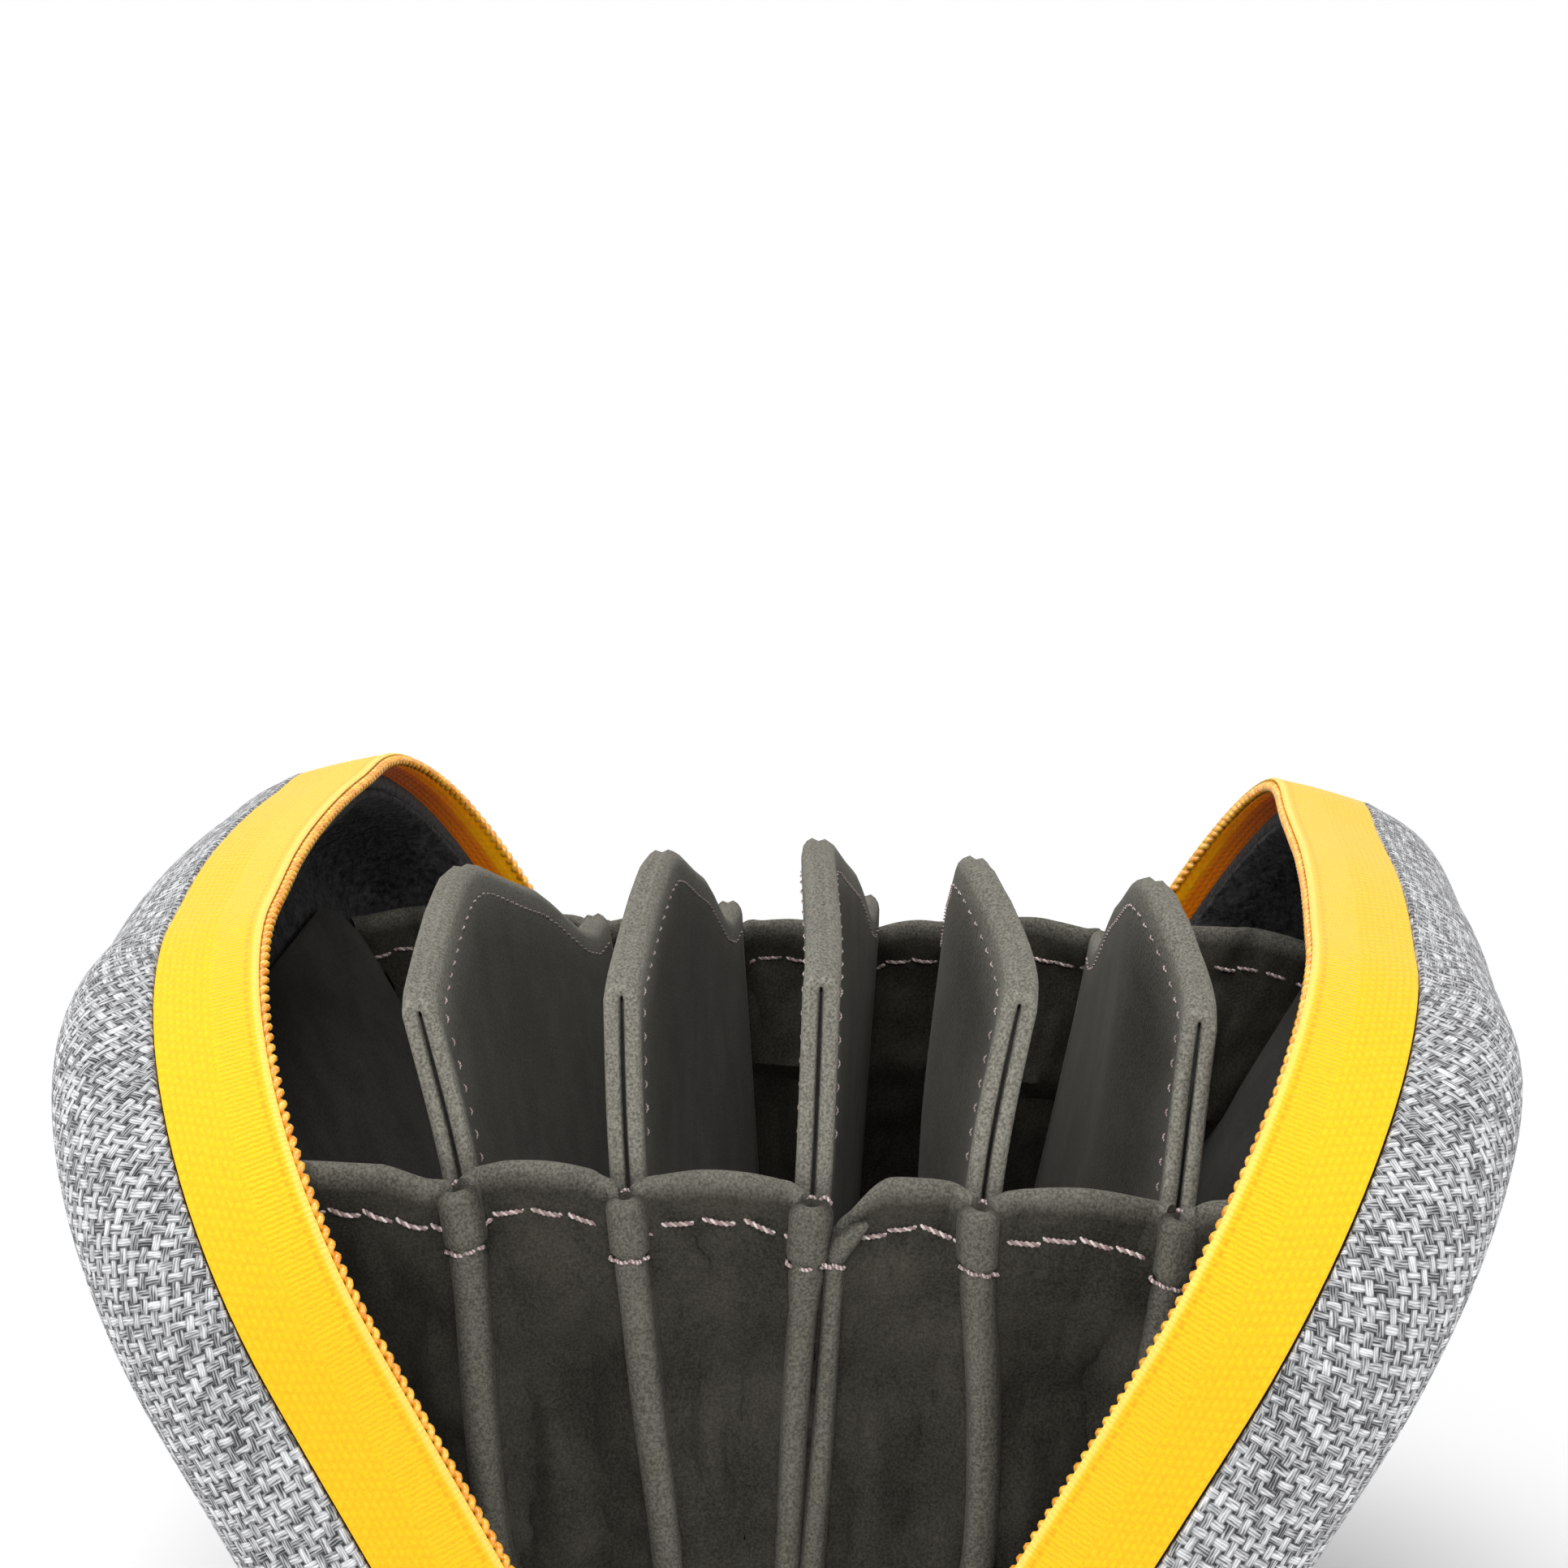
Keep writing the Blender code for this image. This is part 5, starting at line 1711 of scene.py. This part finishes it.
def stitch_strand(graph, given, phase):
    """One of the two strands of a stitch, lying along X and arched in Z."""
    half = graph.sum("MULTIPLY", given["Length"], 0.5)
    places = [{"X": graph.sum("MULTIPLY", half, way)} for way in (-1.0, 1.0)]
    start, end = (graph.add("ShaderNodeCombineXYZ", place).outputs[0] for place in places)
    line = graph.add("GeometryNodeCurvePrimitiveLine", {"Start": start, "End": end}).outputs[0]
    line = graph.add("GeometryNodeResampleCurve", {"Curve": line, "Count": 14}).outputs[0]
    share = graph.add("GeometryNodeSplineParameter").outputs["Factor"]
    turn = graph.sum("MULTIPLY_ADD", share, STITCH_TWISTS * TURN, phase)
    round_by = graph.sum("MULTIPLY", given["Thickness"], 0.26)
    arch = graph.sum("MULTIPLY", graph.sum("MULTIPLY", share, graph.sum("SUBTRACT", 1.0, share)), 4.0)
    rise = graph.sum("MULTIPLY", graph.sum("SUBTRACT", arch, 0.35), given["Thickness"])
    lift = graph.sum("MULTIPLY_ADD", graph.sum("SINE", turn), round_by, rise)
    aside = graph.sum("MULTIPLY", graph.sum("COSINE", turn), round_by)
    moved = graph.add("ShaderNodeCombineXYZ", {"Y": aside, "Z": lift}).outputs[0]
    line = graph.add("GeometryNodeSetPosition", {"Geometry": line, "Offset": moved}).outputs[0]
    radius = graph.sum("MULTIPLY", given["Thickness"], 0.29)
    section = graph.add("GeometryNodeCurvePrimitiveCircle", {"Resolution": 5, "Radius": radius}).outputs[0]
    tube = {"Curve": line, "Profile Curve": section, "Fill Caps": True}
    tube = graph.add("GeometryNodeCurveToMesh", tube).outputs[0]
    strand = {"Geometry": tube, "Name": "Strand", "Value": float(phase > 0)}
    return graph.add("GeometryNodeStoreNamedAttribute", strand, data_type="FLOAT").outputs[0]


def stitch_tree():
    graph, given, put_out = new_tree(
        "Sew a row of stitches",
        [
            ("Pitch", "number"),
            ("Length", "number"),
            ("Thickness", "number"),
            ("Slant", "number"),
            ("Seed", "whole"),
            ("Finish", "material"),
        ],
    )
    line = graph.add("GeometryNodeMeshToCurve", {"Mesh": given["Geometry"]}).outputs[0]
    spaced = {"Curve": line, "Length": given["Pitch"]}
    line = graph.add("GeometryNodeResampleCurve", spaced, mode="LENGTH").outputs[0]
    facing = facing_field(graph)
    tangent = graph.add("GeometryNodeInputTangent").outputs[0]
    aside = graph.add("ShaderNodeVectorMath", {0: tangent, 1: facing}, operation="CROSS_PRODUCT").outputs[0]
    luck = graph.add("FunctionNodeRandomValue", {"Seed": given["Seed"]}, data_type="FLOAT").outputs[1]
    slant = graph.sum("MULTIPLY", graph.sum("ADD", luck, -0.2), given["Slant"])
    heading = graph.add(
        "ShaderNodeVectorMath", {0: tangent, 1: scaled(graph, aside, slant)}, operation="ADD"
    ).outputs[0]
    turned = graph.add("FunctionNodeAlignRotationToVector", {"Vector": heading}, axis="X").outputs[0]
    upright = {"Rotation": turned, "Vector": facing}
    turned = graph.add("FunctionNodeAlignRotationToVector", upright, axis="Z", pivot_axis="X").outputs[0]
    strands = graph.add("GeometryNodeJoinGeometry")
    for phase in (0.0, pi):
        graph.tree.links.new(stitch_strand(graph, given, phase), strands.inputs[0])
    size = graph.sum("MULTIPLY_ADD", luck, 0.16, 0.92)
    placed = {"Points": line, "Instance": strands.outputs[0], "Rotation": turned, "Scale": size}
    row = graph.add("GeometryNodeInstanceOnPoints", placed)
    finish_tree(graph, given, put_out, row.outputs[0])
    return graph.tree


sewer = stitch_tree()
HEM_STITCH = {"Pitch": 3.1 * MM, "Length": 3 * MM, "Thickness": 0.5 * MM, "Slant": 0.25}
EDGE_STITCH = {"Pitch": 2.3 * MM, "Length": 0.8 * MM, "Thickness": 0.2 * MM, "Slant": 0.15}
CAP_STITCH = {"Pitch": 1.25 * MM, "Length": 1.15 * MM, "Thickness": 0.45 * MM, "Slant": 0.5}


def sew(name, lines, stitch, seed):
    return run_tree(name, lines, sewer, {**stitch, "Seed": seed, "Finish": thread})


print("stitch tree:", len(sewer.nodes), "nodes")


# %% Sew the gussets' hems
def hem_lines(pocket, end):
    """Guide lines on both faces of a gusset, along the seam under its hem."""
    grid = gusset_grids[pocket, end]
    normals, half = sheet_normals(grid), hem_half(grid)
    drop = grid[-1:, :, 2] - grid[:, :, 2]
    lines = []
    for face in (1, -1):
        points, facings = [], []
        start = int(COLUMNS * 0.36) if (pocket, end) == LAPEL else 1
        for c in range(start, COLUMNS):
            # np.interp needs rising places, and drop falls towards the hem
            rising = drop[::-1, c]
            seam = [np.interp(SEAM_DROP, rising, grid[::-1, c, k]) for k in range(3)]
            normal = face * np.array([np.interp(SEAM_DROP, rising, normals[::-1, c, k]) for k in range(3)])
            reach = np.interp(SEAM_DROP, rising, half[::-1, c])
            points.append(np.array(seam) + normal * reach)
            facings.append(normal / np.linalg.norm(normal))
        lines.append((points, facings))
    return lines


for pocket in POCKETS:
    lines = [line for _, end in ENDS for line in hem_lines(pocket, end)]
    row = sew(f"pocket_stitches_{pocket}", lines, HEM_STITCH, pocket)
    fold_with_pocket(row, pocket)
print("hem stitches sewn")


# %% Sew the dividers' edges and the rib caps
def edge_lines(leaf, drop=3.4 * MM):
    """Guide lines on both faces of a divider, along its front edge and under its top edge."""
    inset = INSERT_WIDTH / 2 - drop
    path = [(-inset, up) for up in np.linspace(78 * MM, top_of(-inset, leaf) - drop, 8)]
    path += [(y, top_of(y, leaf) - drop) for y in np.linspace(-inset + 2 * MM, inset, 50)]
    lines = []
    for face in (-1, 1):
        surface = on_leaf(leaf, [(face * DIVIDER_THICKNESS / 2, y, up) for y, up in path])
        further = on_leaf(leaf, [(face * (DIVIDER_THICKNESS / 2 + MM), y, up) for y, up in path])
        lines.append(guide_line(surface, further))
    return lines


def cap_lines(leaf):
    """Guide lines on the rib caps: a bar across the front, thread behind the top, a stitch on the strand."""
    lines = []
    for _, end in ENDS:
        high = up_to(leaf, TOP_LEVEL[end])
        ring = [(cos(t), sin(t)) for t in end * np.linspace(0.35, pi - 0.35, 9)]
        bars = []
        for radius in (rib_radius(BAR_DROP, leaf), rib_radius(BAR_DROP, leaf) + MM):
            bar = [(radius * x, end * RIB_Y + radius * y, high - BAR_DROP) for x, y in ring]
            bars.append(on_leaf(leaf, bar))
        lines.append(guide_line(*bars))
        over = [(x * MM, end * (RIB_Y - 1.3 * MM), high - 0.15 * MM) for x in (-1.3, -0.4, 0.4, 1.3)]
        surface = on_leaf(leaf, over)
        lines.append((surface, [(0, 0, 1)] * len(surface)))
    if leaf == 3:
        high = up_to(leaf, TOP_LEVEL[-1])
        held = [(x * MM, -(RIB_Y + 1.2 * MM), high - 5.5 * MM) for x in (2.0, 2.5, 3.0)]
        lines.append((on_leaf(leaf, held), [(0, -1, 0)] * 3))
    return lines


for leaf in BODIES:
    settle_on_leaf(sew(f"divider_{leaf}_stitches", edge_lines(leaf), EDGE_STITCH, 20 + leaf), leaf, "suede")
    settle_on_leaf(sew(f"rib_{leaf}_stitches", cap_lines(leaf), CAP_STITCH, 40 + leaf), leaf, "suede")
print("edges and caps sewn")

# %% [markdown]
# ## Hinge fold
#
# The two hinge flaps meet in a fold of the same black webbing, right on the hinge line. It is a soft
# round roll with slightly pinched ends.


# %% Make the hinge fold
def add_fold():
    turns = [TURN * k / 16 for k in range(16)]
    loops = []
    for share in np.linspace(-1, 1, 25):
        y = share * HINGE_WIDTH / 2
        radius = FOLD_RADIUS * (0.96 - 0.12 * abs(share) ** 12)
        loops.append([(radius * cos(t), y, radius * sin(t) + HINGE_HEIGHT) for t in turns])
    return add_loft("hinge_fold_roll", loops, webbing)


fold = settle(add_fold(), "spine", "black_fabric", "hinge_fold")
print(fold.name, "is", HINGE_WIDTH / MM, "mm long")

# %% [markdown]
# ## Sliders and pulls
#
# Two cast sliders are parked where the zip ends beside the hinge, each with a flat pull. The packed
# pieces already have the right shapes, with edges too sharp for a casting. So a merged copy of each
# gets a small bevel, which gives its edges a highlight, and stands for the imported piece.


# %% Round the castings' edges
def rounded_copy(node, name, width):
    """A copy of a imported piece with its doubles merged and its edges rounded."""
    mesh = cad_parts[node].data.copy()
    mesh.name = name
    bm = bmesh.new()
    bm.from_mesh(mesh)
    bmesh.ops.remove_doubles(bm, verts=bm.verts, dist=0.005 * MM)
    bmesh.ops.dissolve_limit(bm, angle_limit=radians(1), verts=bm.verts, edges=bm.edges)
    edges = [edge for edge in bm.edges if len(edge.link_faces) == 2 and edge.calc_face_angle() > radians(25)]
    bmesh.ops.bevel(bm, geom=edges, offset=width, segments=2, affect="EDGES", clamp_overlap=True)
    bm.to_mesh(mesh)
    bm.free()
    mesh.materials.clear()
    mesh.materials.append(dark_metal)
    mesh.shade_smooth()
    mesh.set_sharp_from_angle(angle=radians(35))
    return link_object(name, mesh)


for prefix, _ in ENDS:
    slider = rounded_copy(prefix + "_slider", prefix + "_slider_casting", 0.15 * MM)
    settle(slider, "spine", "dark_metal", prefix + "_slider")
    pull = rounded_copy(prefix + "_pull", prefix + "_pull_tab", 0.2 * MM)
    settle(pull, prefix + "_pull", "dark_metal", prefix + "_pull")
print("castings done")

# %% [markdown]
# ## Studio
#
# The case stands on a plain pale floor in soft light from large lamps above it, on both sides and in
# front. The floor holds the case's shadow. Further away it turns plain white for the camera, and so
# does the sky, through Light Path, which adds no light to the case.

# %% Floor and world
FLOOR_REACH = 3.0
SHADOW_REACH = (0.09, 0.15)
SKY_STRENGTH = 0.14


def seen_directly(graph):
    """1 for rays that come from the camera or a mirror, 0 for rays that carry light."""
    path = graph.add("ShaderNodeLightPath").outputs
    seen = graph.sum("MAXIMUM", path["Is Camera Ray"], path["Is Glossy Ray"])
    return graph.sum("MAXIMUM", seen, path["Is Transmission Ray"])


def floor_material():
    material, graph, shader = new_material("Pale floor", Roughness=0.9, Specular_IOR_Level=0.1)
    shader.inputs["Base Color"].default_value = (0.88, 0.88, 0.88, 1)
    place = graph.add("ShaderNodeTexCoord").outputs["Object"]
    reach = graph.add("ShaderNodeVectorMath", {0: place}, operation="LENGTH").outputs["Value"]
    white = graph.add("ShaderNodeEmission", {"Color": (1, 1, 1, 1), "Strength": 1.0}).outputs[0]
    share = graph.sum("MULTIPLY", graph.between(reach, *SHADOW_REACH), seen_directly(graph))
    mixed = graph.add("ShaderNodeMixShader", {0: share, 1: shader.outputs[0], 2: white})
    graph.feed(material.node_tree.nodes["Material Output"].inputs["Surface"], mixed.outputs[0])
    return material


def add_floor():
    mesh = bpy.data.meshes.new("floor")
    far = FLOOR_REACH
    mesh.from_pydata([(-far, -far, 0), (far, -far, 0), (far, far, 0), (-far, far, 0)], [], [(0, 1, 2, 3)])
    mesh.materials.append(floor_material())
    floor = link_object("floor", mesh)


def set_world(strength):
    world = bpy.data.worlds.new("Studio")
    bpy.context.scene.world = world
    world.use_nodes = True
    graph = Graph(world.node_tree)
    background = world.node_tree.nodes["Background"]
    background.inputs["Color"].default_value = (1, 1, 1, 1)
    seen = seen_directly(graph)
    graph.feed(background.inputs["Strength"], graph.sum("MULTIPLY_ADD", seen, 1 - strength, strength))


add_floor()
set_world(SKY_STRENGTH)
print("studio floor and world set")

# %% Lamps
MIDDLE = Vector((0, 0, 0.06))
LAMPS = {
    "Soft box above": ((-0.15, 0.05, 0.9), 0.7, 6.5),
    "Soft box left": ((-0.85, -0.25, 0.22), 0.6, 4.8),
    "Soft box right": ((0.85, -0.25, 0.22), 0.6, 4.8),
    "Soft box front": ((0.0, -0.75, 0.62), 0.45, 4.2),
}


def add_lamp(name, place, size, power):
    lamp = bpy.data.lights.new(name, "AREA")
    lamp.size = size
    lamp.energy = power
    holder = link_object(name, lamp)
    holder.location = place
    holder.rotation_euler = (MIDDLE - Vector(place)).to_track_quat("-Z", "Y").to_euler()


for name, (place, size, power) in LAMPS.items():
    add_lamp(name, place, size, power)
print("lamps:", len(LAMPS))

# %% [markdown]
# ## Camera
#
# The camera looks slightly down into the open case from the front, a little to the right of its
# middle.

# %% Camera
YAW, PITCH, ROLL = -0.0784, -0.2371, 0.0082
CAMERA_PLACE = (24.54 * MM, -344.23 * MM, 194.99 * MM)
SENSOR = 36.0
LENS = 77.36
ahead = Vector((sin(YAW) * cos(PITCH), cos(YAW) * cos(PITCH), sin(PITCH)))
level = Vector((cos(YAW), -sin(YAW), 0))
sideways = cos(ROLL) * level + sin(ROLL) * level.cross(ahead)
upright = sideways.cross(ahead)
turned = Matrix((sideways, upright, -ahead)).transposed().to_4x4()
camera = link_object("camera", bpy.data.cameras.new("camera"))
camera.matrix_world = Matrix.Translation(CAMERA_PLACE) @ turned
camera.data.sensor_width = SENSOR
camera.data.lens = LENS
camera.data.clip_start = 0.01
bpy.context.scene.camera = camera
bpy.context.scene.view_settings.view_transform = "Standard"
print("camera: a lens of", LENS, "mm")
